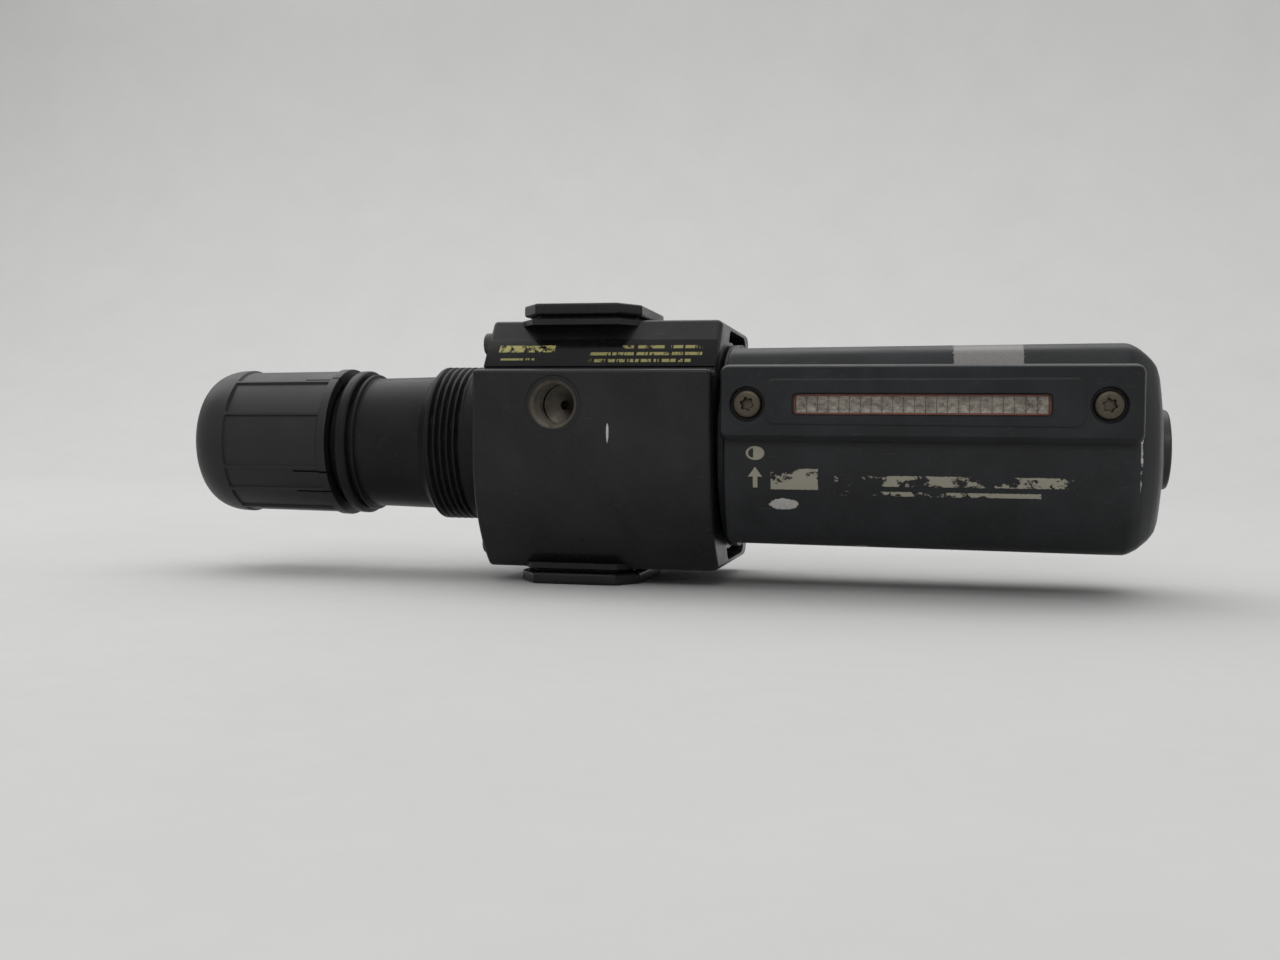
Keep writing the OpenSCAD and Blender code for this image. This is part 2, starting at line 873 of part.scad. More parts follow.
module lens_gasket() {
    color([0.75, 0.2, 0.12]) front_plate(lens_front + 1, lens_front + 0.05) difference() {
        window_outline(1.7, 1.7);
        window_outline(-0.4, 0.6);
    }
}

module lens_seal() {
    color([0.12, 0.12, 0.12]) front_plate(lens_back - 0.05, lens_back - 2.15) difference() {
        window_outline(1.7, 1.7);
        window_outline(-0.6, 0.5);
    }
}

// ---------- automatic drain ----------

module float_cage() {
    lid = 1.6;
    slots = 6;
    slot = [5, 34];
    color([0.86, 0.86, 0.82]) difference() {
        union() {
            tube(cage_x[0], cage_x[1], cage_r[0], cage_r[1]);
            rod(cage_x[0], cage_x[0] + lid, cage_r[0]);
        }
        for (i = [0:slots - 1])
            at_x(cage_x[0] + 6) rotate([0, 0, i * 360 / slots]) translate([14, -slot[0] / 2, 0])
                cube([5, slot[0], slot[1]]);
        rod(cage_x[0] - cut, cage_x[0] + lid + cut, 3);
    }
}

module float() {
    color([0.88, 0.84, 0.7]) {
        difference() {
            union() {
                rod(float_x[0], float_x[1], float_r);
                rod(float_x[0] - 1, float_x[0] + 0.1, 5);
            }
            rod(float_x[0] + 2, float_x[1] + cut, standpipe_r + 0.5);
        }
        rod(float_x[0] + 1.9, float_x[0] + 7, 1);
    }
}

module drain_body() {
    pipe_left = 118;
    color([0.72, 0.6, 0.3]) difference() {
        union() {
            rod(pipe_left, flange_x[0] + 0.3, standpipe_r);
            rod(flange_x[0], flange_x[1], 14.6);
            rod(stem_x[0], stem_x[1], drain_stem_r);
        }
        rod(pipe_left - cut, stem_x[1] - drain_depth + 0.7, 1.4);
        rod(stem_x[1] - drain_depth, stem_x[1] + cut, drain_r);
        tube(drain_ring_x - 0.7, drain_ring_x + 0.7, drain_stem_r + 1, 6.7);
    }
}

module drain_o_ring() {
    color([0.08, 0.08, 0.08]) o_ring(drain_ring_x, 7.36, 0.64);
}

module drain_nut() {
    color([0.3, 0.3, 0.31]) tube(bowl_end + 0.05, stem_x[1] - 0.1, 11, drain_stem_r + 0.05);
}

body();
label_plate();
bonnet();
bonnet_screws();
gauge_plug();
adjusting_screw();
thrust_washer();
retaining_ring();
knob();
knob_end_disc();
spring_nut();
main_spring();
diaphragm();
diaphragm_plate();
relief_seat();
aspirator_baffle();
valve_seat();
valve_seat_o_ring();
valve_pin();
valve_disc();
valve_stem();
valve_spring();
valve_guide();
deflector();
filter_rod();
filter_element();
element_retainer();
bowl();
bowl_o_ring();
bezel();
bezel_screws();
sight_lens();
lens_gasket();
lens_seal();
float_cage();
float();
drain_body();
drain_o_ring();
drain_nut();
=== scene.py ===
"""The looks of a compressed-air filter regulator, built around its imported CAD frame.

Shapes are made in millimetres as (x, y, h): x runs along the main axis from the knob to the drain,
-y is the front with the gauge port and the sight glass, and h is the height above the main axis.
Angles round the axis start at the front and grow towards the top.
"""

import math

import bmesh
import bpy
import numpy as np
from mathutils import Matrix, Vector


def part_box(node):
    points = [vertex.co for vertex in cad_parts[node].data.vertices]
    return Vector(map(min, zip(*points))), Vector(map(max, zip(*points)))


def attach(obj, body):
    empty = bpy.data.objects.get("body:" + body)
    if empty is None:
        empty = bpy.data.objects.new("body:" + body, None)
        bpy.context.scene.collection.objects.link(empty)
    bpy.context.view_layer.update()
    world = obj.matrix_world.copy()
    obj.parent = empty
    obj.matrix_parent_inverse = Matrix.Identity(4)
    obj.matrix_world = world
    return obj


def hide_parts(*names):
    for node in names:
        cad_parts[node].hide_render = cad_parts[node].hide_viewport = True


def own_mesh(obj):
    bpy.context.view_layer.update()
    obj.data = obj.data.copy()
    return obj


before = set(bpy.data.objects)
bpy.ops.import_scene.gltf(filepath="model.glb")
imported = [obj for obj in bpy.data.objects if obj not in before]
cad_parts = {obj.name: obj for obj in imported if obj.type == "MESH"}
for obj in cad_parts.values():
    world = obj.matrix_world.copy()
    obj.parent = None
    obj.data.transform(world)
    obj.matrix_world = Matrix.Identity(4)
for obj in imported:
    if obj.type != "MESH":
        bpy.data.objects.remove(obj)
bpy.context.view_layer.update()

MM = 0.001


def spans(node):
    """The (low, high) limits of a CAD node along x, y and z, in millimetres."""
    low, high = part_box(node)
    return [(a / MM, b / MM) for a, b in zip(low, high)]


AXIS = sum(spans("knob_end_disc")[2]) / 2
(BODY_L, BODY_R), (FRONT, BACK), (_, PORT_TOP) = spans("body")
PORT = PORT_TOP - AXIS
HALF = PORT - 4.5
(SPIGOT_END, FLANGE_IN), _, _ = spans("bonnet")
(KNOB_END, KNOB_OPEN), _, (_, KNOB_TOP) = spans("knob")
KNOB_R = KNOB_TOP - AXIS
(BOWL_L, BOWL_END), (PAD_FRONT, _), _ = spans("bowl")
(BEZEL_L, BEZEL_R), (BEZEL_FRONT, _), (BEZEL_LOW, BEZEL_HIGH) = spans("bezel")
BEZEL_LOW, BEZEL_HIGH = BEZEL_LOW - AXIS, BEZEL_HIGH - AXIS
BEZEL_MID = (BEZEL_L + BEZEL_R) / 2
(WINDOW_L, WINDOW_R), _, (WINDOW_LOW, WINDOW_HIGH) = spans("lens_gasket")
WINDOW_UP = (WINDOW_LOW + WINDOW_HIGH) / 2 - AXIS
WINDOW_HALF = (WINDOW_HIGH - WINDOW_LOW) / 2 - 1.7
(SCREW_L, SCREW_R), _, _ = spans("bezel_screws")


# ---------- geometry ----------


def fillet(corners, shrink=0.0, segments=4):
    """A closed outline from (u, v) or (u, v, radius) corners, with an arc at each corner that has a radius.

    shrink is how far the outline was moved inwards: outside corners get tighter by it, inside corners wider.
    """
    out = []
    n = len(corners)
    ends = [Vector(c[:2]) for c in corners]
    area = sum(ends[i - 1].x * ends[i].y - ends[i].x * ends[i - 1].y for i in range(n))
    for i, corner in enumerate(corners):
        p = ends[i]
        if len(corner) < 3:
            out.append((p.x, p.y))
            continue
        before, after = (ends[i - 1] - p).normalized(), (ends[(i + 1) % n] - p).normalized()
        outside = (before.x * after.y - before.y * after.x) * area < 0
        radius = max(0.04, corner[2] - shrink if outside else corner[2] + shrink)
        half = math.acos(max(-1, min(1, before.dot(after)))) / 2
        centre = p + (before + after).normalized() * (radius / math.sin(half))
        reach = radius / math.tan(half)
        a, b = p + before * reach - centre, p + after * reach - centre
        turn = math.atan2(a.x * b.y - a.y * b.x, a.dot(b))
        for k in range(segments + 1):
            c, s = math.cos(turn * k / segments), math.sin(turn * k / segments)
            out.append((centre.x + a.x * c - a.y * s, centre.y + a.x * s + a.y * c))
    return out


def outline(corners, distance=0.0):
    """The filleted outline of some corners, moved inwards by a distance."""
    p = np.array([c[:2] for c in corners], float)
    back, ahead = p - np.roll(p, 1, 0), np.roll(p, -1, 0) - p
    area = np.sum(p[:, 0] * np.roll(p[:, 1], -1) - np.roll(p[:, 0], -1) * p[:, 1])
    side = 1 if area > 0 else -1

    def inward(d):
        d = d / np.linalg.norm(d, axis=1)[:, None]
        return side * np.stack([-d[:, 1], d[:, 0]], 1)

    a, b = inward(back), inward(ahead)
    m = a + b
    m /= np.sum(m * a, axis=1)[:, None]
    moved = p + m * distance
    return fillet([(*q, *c[2:]) for q, c in zip(moved.tolist(), corners)], distance)


def strip(rows, cols, closed_rows=False, first=0):
    """Quads of a grid of rows rings with cols points each."""
    last = rows if closed_rows else rows - 1
    return [
        (
            first + (i % rows) * cols + j,
            first + (i % rows) * cols + (j + 1) % cols,
            first + ((i + 1) % rows) * cols + (j + 1) % cols,
            first + ((i + 1) % rows) * cols + j,
        )
        for i in range(last)
        for j in range(cols)
    ]


def build(name, points, faces, material, sharp=32):
    """A closed mesh object from (x, y, h) points, smooth up to an angle."""
    mesh = bpy.data.meshes.new(name)
    mesh.from_pydata([(x * MM, y * MM, (h + AXIS) * MM) for x, y, h in points], [], faces)
    work = bmesh.new()
    work.from_mesh(mesh)
    bmesh.ops.remove_doubles(work, verts=work.verts, dist=1e-7)
    bmesh.ops.recalc_face_normals(work, faces=work.faces)
    work.to_mesh(mesh)
    work.free()
    mesh.materials.append(material)
    obj = bpy.data.objects.new(name, mesh)
    bpy.context.scene.collection.objects.link(obj)
    smooth(obj, sharp)
    return obj


def smooth(obj, sharp=32):
    obj.data.polygons.foreach_set("use_smooth", [True] * len(obj.data.polygons))
    obj.data.set_sharp_from_angle(angle=math.radians(sharp))


def sections(name, rings, material, sharp=32):
    """A solid through rings of (x, y, h) points, closed at both ends."""
    cols = len(rings[0])
    points = [p for ring in rings for p in ring]
    faces = strip(len(rings), cols)
    faces += [tuple(range(cols)), tuple(range(len(points) - 1, len(points) - 1 - cols, -1))]
    return build(name, points, faces, material, sharp)


def rounded(low, high, r_low, r_high, steps=4):
    """(position, inset) stations of a slab whose two rims are quarter rounds."""
    arc = [math.pi / 2 * k / steps for k in range(steps + 1)]
    first = [(low + r_low * (1 - math.cos(a)), r_low * (1 - math.sin(a))) for a in arc]
    last = [(high - r_high * (1 - math.cos(a)), r_high * (1 - math.sin(a))) for a in reversed(arc)]
    return first + last


PLACE = {
    "x": lambda s, u, v: (s, u, v),
    "y": lambda s, u, v: (u, s, v),
    "z": lambda s, u, v: (u, v, s),
}


def slab(name, corners, stations, material, axis="x", sharp=32):
    """A solid through (position, inset) stations along an axis. The other two coordinates give its corners."""
    rings = [[PLACE[axis](s, u, v) for u, v in outline(corners, d)] for s, d in stations]
    return sections(name, rings, material, sharp)


def revolve(name, profile, material, steps=128, shape=None, closed=True, angles=None, sharp=32):
    """A solid of revolution about the main axis from (x, radius) points. shape may change the radius."""
    angles = angles or [360 * j / steps for j in range(steps)]
    points = []
    for x, r in profile:
        for a in angles:
            radius = shape(x, r, a) if shape else r
            points.append((x, -radius * math.cos(math.radians(a)), radius * math.sin(math.radians(a))))
    cols = len(angles)
    faces = strip(len(profile), cols, closed)
    if not closed:
        faces += [tuple(range(cols)), tuple(range(len(points) - 1, len(points) - 1 - cols, -1))]
    return build(name, points, faces, material, sharp)


def turned(name, origin, direction, profile, material, steps=64, shape=None, sharp=32):
    """A solid of revolution about any axis from (distance, radius) points, closed at both ends."""
    d = Vector(direction).normalized()
    side = d.orthogonal().normalized()
    up = d.cross(side)
    rings = []
    for t, r in profile:
        ring = []
        for j in range(steps):
            a = 2 * math.pi * j / steps
            radius = shape(t, r, a) if shape else r
            p = Vector(origin) + d * t + (side * math.cos(a) + up * math.sin(a)) * radius
            ring.append(tuple(p))
        rings.append(ring)
    return sections(name, rings, material, sharp)


def boolean(obj, other, operation="DIFFERENCE"):
    """Cuts other from obj, or joins them, and removes other. Cut faces take the material of other."""
    for m in other.data.materials:
        if m.name not in obj.data.materials:
            obj.data.materials.append(m)
    mod = obj.modifiers.new("boolean", "BOOLEAN")
    mod.object, mod.operation, mod.solver, mod.material_mode = other, operation, "EXACT", "TRANSFER"
    graph = bpy.context.evaluated_depsgraph_get()
    mesh = bpy.data.meshes.new_from_object(obj.evaluated_get(graph))
    obj.modifiers.clear()
    obj.data = mesh
    bpy.data.objects.remove(other)
    return obj


def join(obj, others):
    """Adds the meshes of others to obj."""
    work = bmesh.new()
    work.from_mesh(obj.data)
    for other in others:
        slot_of = []
        for m in other.data.materials:
            if m.name not in obj.data.materials:
                obj.data.materials.append(m)
            slot_of.append(obj.data.materials.find(m.name))
        before = len(work.faces)
        work.from_mesh(other.data)
        work.faces.ensure_lookup_table()
        for face in work.faces[before:]:
            face.material_index = slot_of[face.material_index]
        bpy.data.objects.remove(other)
    work.to_mesh(obj.data)
    work.free()
    smooth(obj)
    return obj


def even(obj):
    """Keeps flat faces flat beside their rounded rims."""
    mod = obj.modifiers.new("normals", "WEIGHTED_NORMAL")
    mod.keep_sharp = True


def put(obj, body, slot, *stands_for):
    """Hands a finished piece to the frame."""
    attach(obj, body)
    if stands_for:
        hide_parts(*stands_for)
    return obj


def helix(name, x0, x1, mean, wire, turns, material, sides=14, per_turn=48):
    """A compression spring whose end turns lie closed."""
    count = turns * per_turn
    closed = 2.08 * wire
    rings = []
    for i in range(count + 1):
        u = turns * i / count
        low, high = x0 + wire, x1 - wire
        if u < 1:
            x = low + closed * u
        elif u > turns - 1:
            x = high - closed * (turns - u)
        else:
            x = low + closed + (high - low - 2 * closed) * (u - 1) / (turns - 2)
        a = 2 * math.pi * u
        ring = []
        for k in range(sides):
            b = 2 * math.pi * k / sides
            r = mean + wire * math.cos(b)
            ring.append((x + wire * math.sin(b), r * math.cos(a), r * math.sin(a)))
        rings.append(ring)
    return sections(name, rings, material, 60)


# ---------- materials ----------


class Look:
    """A procedural material. Coordinates are the object's own, in millimetres, with h above the main axis."""

    def __init__(self, name, **settings):
        self.material = bpy.data.materials.new(name)
        self.material.use_nodes = True
        self.tree = self.material.node_tree
        self.shader = self.tree.nodes["Principled BSDF"]
        for key, value in settings.items():
            self.shader.inputs[key.replace("_", " ")].default_value = value
        place = self.tree.nodes.new("ShaderNodeTexCoord").outputs["Object"]
        place = self.vector("SUBTRACT", place, (0, 0, AXIS * MM))
        self.place = self.vector("SCALE", place, scale=1 / MM)
        parts = self.tree.nodes.new("ShaderNodeSeparateXYZ")
        self.tree.links.new(self.place, parts.inputs[0])
        self.x, self.y, self.h = parts.outputs

    def feed(self, socket, value):
        if isinstance(value, bpy.types.NodeSocket):
            self.tree.links.new(value, socket)
        else:
            socket.default_value = value

    def vector(self, operation, a, b=None, scale=None):
        node = self.tree.nodes.new("ShaderNodeVectorMath")
        node.operation = operation
        self.feed(node.inputs[0], a)
        if b is not None:
            self.feed(node.inputs[1], b)
        if scale is not None:
            node.inputs["Scale"].default_value = scale
        return node.outputs["Value" if operation in ("LENGTH", "DISTANCE", "DOT_PRODUCT") else "Vector"]

    def math(self, operation, a, b=0.0, c=0.0):
        node = self.tree.nodes.new("ShaderNodeMath")
        node.operation = operation
        for socket, value in zip(node.inputs, (a, b, c)):
            self.feed(socket, value)
        return node.outputs[0]

    def noise(self, size, detail=3.0, rough=0.55, stretch=(1, 1, 1), shift=0.0):
        """Noise from 0 to 1 whose features are about size millimetres."""
        node = self.tree.nodes.new("ShaderNodeTexNoise")
        place = self.vector("MULTIPLY", self.place, tuple(1 / s for s in stretch))
        place = self.vector("ADD", place, (shift, 0.7 * shift, 1.3 * shift))
        self.feed(node.inputs["Vector"], place)
        node.inputs["Scale"].default_value = 1 / size
        node.inputs["Detail"].default_value = detail
        node.inputs["Roughness"].default_value = rough
        return node.outputs[0]

    def cells(self, size, feature="F1"):
        node = self.tree.nodes.new("ShaderNodeTexVoronoi")
        node.feature = feature
        self.feed(node.inputs["Vector"], self.place)
        node.inputs["Scale"].default_value = 1 / size
        return node.outputs["Distance"]

    def ramp(self, value, start, end, low=0.0, high=1.0):
        node = self.tree.nodes.new("ShaderNodeMapRange")
        node.interpolation_type = "SMOOTHSTEP"
        for socket, v in zip(node.inputs, (value, start, end, low, high)):
            self.feed(socket, v)
        return node.outputs[0]

    def mix(self, amount, a, b):
        """A mix of two colours."""
        node = self.tree.nodes.new("ShaderNodeMix")
        node.data_type = "RGBA"
        self.feed(node.inputs[0], amount)
        self.feed(node.inputs[6], (*a, 1) if isinstance(a, tuple) else a)
        self.feed(node.inputs[7], (*b, 1) if isinstance(b, tuple) else b)
        return node.outputs[2]

    def blend(self, amount, a, b):
        """A mix of two numbers."""
        node = self.tree.nodes.new("ShaderNodeMix")
        self.feed(node.inputs[0], amount)
        self.feed(node.inputs[2], a)
        self.feed(node.inputs[3], b)
        return node.outputs[0]

    def most(self, *values):
        out = values[0]
        for v in values[1:]:
            out = self.math("MAXIMUM", out, v)
        return out

    def both(self, a, b):
        return self.math("MULTIPLY", a, b)

    def box(self, x, h, soft=0.08, ragged=0.0):
        """1 inside a rectangle on the front, given as x and h limits."""
        past = []
        for place, (low, high) in ((self.x, x), (self.h, h)):
            offset = self.math("ABSOLUTE", self.math("SUBTRACT", place, (low + high) / 2))
            past.append(self.math("SUBTRACT", offset, (high - low) / 2))
        edge = self.math("MAXIMUM", *past)
        if ragged:
            edge = self.math("MULTIPLY_ADD", self.noise(0.9, 4), ragged, edge)
            edge = self.math("SUBTRACT", edge, ragged / 2)
        return self.ramp(edge, soft, -soft)

    def spot(self, centre, radii, ragged=0.5, size=2.0, soft=0.06):
        """1 inside a ragged ellipsoid."""
        d = self.vector("DIVIDE", self.vector("SUBTRACT", self.place, centre), radii)
        edge = self.math("MULTIPLY", self.math("SUBTRACT", self.noise(size, 5, 0.6), 0.5), 2 * ragged)
        d = self.math("ADD", self.vector("LENGTH", d), edge)
        return self.ramp(d, 1 + soft, 1 - soft)

    def colour(self, value):
        self.feed(self.shader.inputs["Base Color"], value)

    def rough(self, value):
        self.feed(self.shader.inputs["Roughness"], value)

    def metal(self, value):
        self.feed(self.shader.inputs["Metallic"], value)

    def bump(self, height, depth, strength=1.0):
        """A bump from heights of 0 to 1 that stand for depth millimetres."""
        node = self.tree.nodes.new("ShaderNodeBump")
        node.inputs["Strength"].default_value = strength
        node.inputs["Distance"].default_value = depth * MM
        self.feed(node.inputs["Height"], height)
        self.tree.links.new(node.outputs[0], self.shader.inputs["Normal"])


def coated(
    name, tone, rough, bare=(), grain=0.5, grain_depth=0.02, dust=0.25, light=(0.12, 0.12, 0.12),
    gloss=0.25, marks=None,
):
    """Dark paint with dust and fine scratches. bare lists functions of the look that say where metal shows."""
    look = Look(name, Specular_IOR_Level=gloss)
    cloud = look.noise(14, 4, 0.6)
    fine = look.noise(1.1, 5, 0.65, shift=9)
    scratch = look.noise(0.35, 2, 0.5, (22, 1.2, 1.2), 5)
    lines = look.ramp(scratch, 0.70, 0.76)
    tint = look.mix(look.ramp(cloud, 0.35, 0.75), tuple(0.8 * c for c in tone), tuple(1.25 * c for c in tone))
    tint = look.mix(look.both(look.ramp(fine, 0.55, 0.8), dust), tint, light)
    tint = look.mix(look.both(lines, 0.18), tint, light)
    uneven = look.math("ADD", look.both(cloud, 0.6), look.both(fine, 0.4))
    roughness = look.ramp(uneven, 0.3, 0.7, rough - 0.06, rough + 0.1)
    metallic = 0.0
    if marks:
        amount, ink = marks(look)
        tint = look.mix(amount, tint, ink)
        roughness = look.blend(amount, roughness, 0.6)
    if bare:
        worn = look.most(*[f(look) for f in bare])
        shine = look.mix(look.noise(0.8, 4, 0.7), (0.32, 0.31, 0.30), (0.62, 0.61, 0.59))
        tint = look.mix(worn, tint, shine)
        roughness = look.blend(worn, roughness, 0.34)
        metallic = look.both(worn, 0.85)
    look.colour(tint)
    look.rough(roughness)
    if bare:
        look.metal(metallic)
    look.bump(look.noise(grain, 3, 0.5), grain_depth)
    return look.material


def metal(name, tone, rough, stretch=(1, 1, 1), dirt=0.3, size=0.6):
    """Machined or drawn metal with lay lines along the stretched direction, and dirt in patches."""
    look = Look(name, Metallic=1.0)
    lay = look.noise(size, 4, 0.7, stretch)
    patch = look.noise(5, 4, 0.6, shift=3)
    dark = tuple(0.45 * c for c in tone)
    tint = look.mix(look.ramp(lay, 0.3, 0.7), tuple(0.8 * c for c in tone), tone)
    look.colour(look.mix(look.both(look.ramp(patch, 0.5, 0.75), dirt), tint, dark))
    uneven = look.math("ADD", look.both(lay, 0.5), look.both(patch, 0.5))
    look.rough(look.ramp(uneven, 0.3, 0.7, rough - 0.08, rough + 0.14))
    look.bump(lay, 0.012)
    return look.material


def plastic(name, tone, rough, grain=0.25, depth=0.01, wear=0.2, light=None, **settings):
    """Moulded plastic or rubber with a fine grain and slight scuffs."""
    look = Look(name, **settings)
    cloud = look.noise(9, 4, 0.6)
    fine = look.noise(grain, 3, 0.6)
    light = light or tuple(min(1, 1.6 * c + 0.04) for c in tone)
    dark, bright = tuple(0.85 * c for c in tone), tuple(min(1, 1.12 * c) for c in tone)
    tint = look.mix(look.ramp(cloud, 0.3, 0.75), dark, bright)
    scuff = look.ramp(look.noise(2.2, 6, 0.75, (3, 1, 1), 4), 0.6, 0.8)
    look.colour(look.mix(look.both(scuff, wear), tint, light))
    uneven = look.math("ADD", look.both(cloud, 0.5), look.both(fine, 0.5))
    look.rough(look.ramp(uneven, 0.3, 0.7, rough - 0.07, rough + 0.07))
    look.bump(fine, depth)
    return look.material


def bowl_marks(look):
    """Generic pictograms and worn bars printed on the front of the bowl."""
    front = look.ramp(look.y, -14, -16)
    oval_x, oval_h = BEZEL_L + 9.4, -1.9

    def ellipse(x, h, rx, rh, soft=0.05):
        dx = look.math("DIVIDE", look.math("SUBTRACT", look.x, x), rx)
        dh = look.math("DIVIDE", look.math("SUBTRACT", look.h, h), rh)
        d = look.math("SQRT", look.math("ADD", look.math("POWER", dx, 2.0), look.math("POWER", dh, 2.0)))
        return look.ramp(d, 1 + soft, 1 - soft)

    oval = ellipse(oval_x, oval_h, 2.5, 1.85)
    hole = look.both(ellipse(oval_x - 0.55, oval_h, 1.3, 1.25),
        look.ramp(look.x, oval_x - 0.45, oval_x - 0.55))
    oval = look.both(oval, look.math("SUBTRACT", 1.0, hole))
    stem = look.box((oval_x - 0.62, oval_x + 0.62), (-11.2, -8.0), 0.05)
    fall = look.math("MULTIPLY", look.math("SUBTRACT", -5.6, look.h), 0.72)
    side = look.math("SUBTRACT", look.math("ABSOLUTE", look.math("SUBTRACT", look.x, oval_x)), fall)
    head = look.both(look.ramp(side, 0.05, -0.05), look.ramp(look.h, -8.3, -8.2))
    start = BEZEL_L + 13.6
    bars = look.most(
        look.box((start, start + 12.6), (-11.6, -6.0), 0.06, 0.5),
        look.box((start + 17, start + 78), (-10.4, -7.6), 0.06, 0.5),
        look.box((start + 17, start + 70), (-13.0, -11.8), 0.06, 0.5),
    )
    rub = look.noise(7, 6, 0.68, (1.3, 1, 1), 21)
    bars = look.both(bars, look.ramp(rub, 0.53, 0.50))
    chips = look.ramp(look.noise(1.4, 5, 0.7, shift=2), 0.30, 0.34)
    amount = look.both(look.both(look.most(oval, stem, head, bars), chips), front)
    return amount, (0.26, 0.245, 0.195)


def label_marks(look):
    """Worn printed bars on the label face, in place of any wording."""
    left, right = BODY_L + 4, BODY_R - 4.5
    block = look.box((left, left + 16.5), (26.0, 28.0), 0.05, 0.3)
    yellow = look.both(block, look.ramp(look.noise(2.2, 5, 0.7), 0.54, 0.49))
    lines = look.most(
        look.box((left + 1, left + 11), (23.6, 24.2), 0.05),
        look.box((right - 23, right), (27.0, 27.9), 0.05),
        look.box((right - 32, right), (25.0, 25.9), 0.05),
        look.box((right - 32, right - 3), (23.0, 23.9), 0.05),
    )
    dashes = look.ramp(look.noise(1.0, 1, 0.5, (1, 8, 8), 6), 0.42, 0.46)
    lines = look.both(look.both(lines, dashes), look.ramp(look.noise(4, 5, 0.7, shift=5), 0.62, 0.56))
    amount = look.most(yellow, look.both(lines, 0.75))
    return amount, (0.34, 0.31, 0.12)


black = coated(
    "body_paint", (0.012, 0.012, 0.0125), 0.30, grain=0.8, grain_depth=0.012, dust=0.1,
    bare=[
        lambda k: k.spot((12.5, FRONT, 3.2), (0.35, 3, 2.6), 0.25, 1.5),
    ],
)
label_black = coated(
    "label_gloss", (0.006, 0.006, 0.007), 0.16, grain=1.5, grain_depth=0.006, dust=0.05, gloss=0.12,
    marks=label_marks,
)
bonnet_black = coated(
    "bonnet_paint", (0.009, 0.009, 0.0095), 0.36, grain=0.5, grain_depth=0.008, dust=0.1, gloss=0.14,
)
bowl_black = coated(
    "bowl_paint", (0.0135, 0.0145, 0.016), 0.36, grain=0.6, grain_depth=0.016, dust=0.12, marks=bowl_marks,
    bare=[
        lambda k: k.both(
            k.both(k.box((BEZEL_MID + 7, BEZEL_MID + 25), (BEZEL_HIGH + 0.1, 40), 0.1, 1.4),
                k.ramp(k.y, -8, -9)), 0.35,
        ),
        lambda k: k.spot((BOWL_L + 2.4, -31, -5), (1.3, 4, 4.4), 0.3, 1.5),
        lambda k: k.spot((BEZEL_L + 17, -31, -15.6), (3.8, 5, 1.5), 0.35, 1.5),
        lambda k: k.spot((BEZEL_L + 36, -15, -27.8), (6, 9, 1.4), 0.6, 2),
        lambda k: k.spot((BOWL_END - 8.6, -27, -1), (0.7, 6, 12), 0.4, 2),
    ],
)
cover_black = coated("cover_paint", (0.0125, 0.0135, 0.015), 0.32, grain=0.6, grain_depth=0.012, dust=0.12)
knob_black = plastic(
    "knob_plastic", (0.0095, 0.0095, 0.010), 0.42, grain=0.3, depth=0.006, wear=0.2, light=(0.05, 0.05, 0.05),
    Specular_IOR_Level=0.35,
)
disc_black = plastic("disc_plastic", (0.012, 0.012, 0.0125), 0.35, wear=0.15, light=(0.06, 0.06, 0.06))
bare_casting = metal("bare_casting", (0.30, 0.28, 0.25), 0.40, (1, 1, 1), 0.6, 0.5)
# Bare metal of the gauge port, painted much darker than the casting as shade inside the deep hole.
port_shade_metal = metal("port_shade_metal", (0.10, 0.09, 0.075), 0.42, (1, 1, 1), 0.7, 0.5)
dark_steel = metal("dark_steel", (0.07, 0.067, 0.062), 0.42, (1, 1, 1), 0.5, 0.4)
warm_steel = metal("warm_steel", (0.10, 0.085, 0.065), 0.42, (1, 1, 1), 0.55, 0.5)
bright_steel = metal("bright_steel", (0.60, 0.60, 0.60), 0.24, (14, 1, 1), 0.15)
brass = metal("brass", (0.70, 0.52, 0.25), 0.26, (1, 6, 6), 0.2)
rubber = plastic("rubber", (0.018, 0.018, 0.018), 0.62, wear=0.1)
white_plastic = plastic("inner_plastic", (0.72, 0.71, 0.66), 0.42, wear=0.15, light=(0.8, 0.8, 0.78))
float_plastic = plastic("float_plastic", (0.70, 0.62, 0.42), 0.45, grain=0.6, depth=0.03, wear=0.2)
gasket_red = plastic("gasket_red", (0.24, 0.07, 0.045), 0.5, wear=0.5, light=(0.34, 0.22, 0.17))


def sintered():
    look = Look("filter_white")
    beads = look.cells(0.35)
    # Each bead is painted light at its centre and darker towards the gaps between beads, as painted shade.
    look.colour(look.mix(look.ramp(beads, 0.1, 0.6), (0.86, 0.85, 0.82), (0.55, 0.54, 0.50)))
    look.rough(look.ramp(look.noise(3), 0.3, 0.7, 0.75, 0.9))
    look.bump(beads, -0.12)
    return look.material


def prism_plastic():
    """Clear plastic with a row of crossed prisms, seen through a scuffed front."""
    look = Look("lens_clear", IOR=1.49)
    glow = look.noise(1.5, 4, 0.7, (2, 1, 1))
    tint = look.mix(look.ramp(glow, 0.3, 0.75), (0.13, 0.115, 0.095), (0.36, 0.325, 0.27))
    look.colour(tint)
    look.rough(look.ramp(glow, 0.3, 0.7, 0.18, 0.34))
    look.bump(look.noise(0.4, 3), 0.02)
    return look.material


nut_black = plastic("nut_black", (0.014, 0.014, 0.0145), 0.4, wear=0.15, light=(0.07, 0.07, 0.07))
filter_white = sintered()
lens_clear = prism_plastic()

# ---------- body ----------

LEDGE = spans("label_plate")[2][0] - AXIS - 1.2
FOOT, TOP_FRONT = -28, -17.3
ARC_R = 46.3
GAUGE_X, GAUGE_UP, GAUGE_R = -3, 11, 5.73
BONNET_SCREWS = [(-15.5, 29), (-15.5, -29), (31.5, 28.5), (31.5, -28.5)]


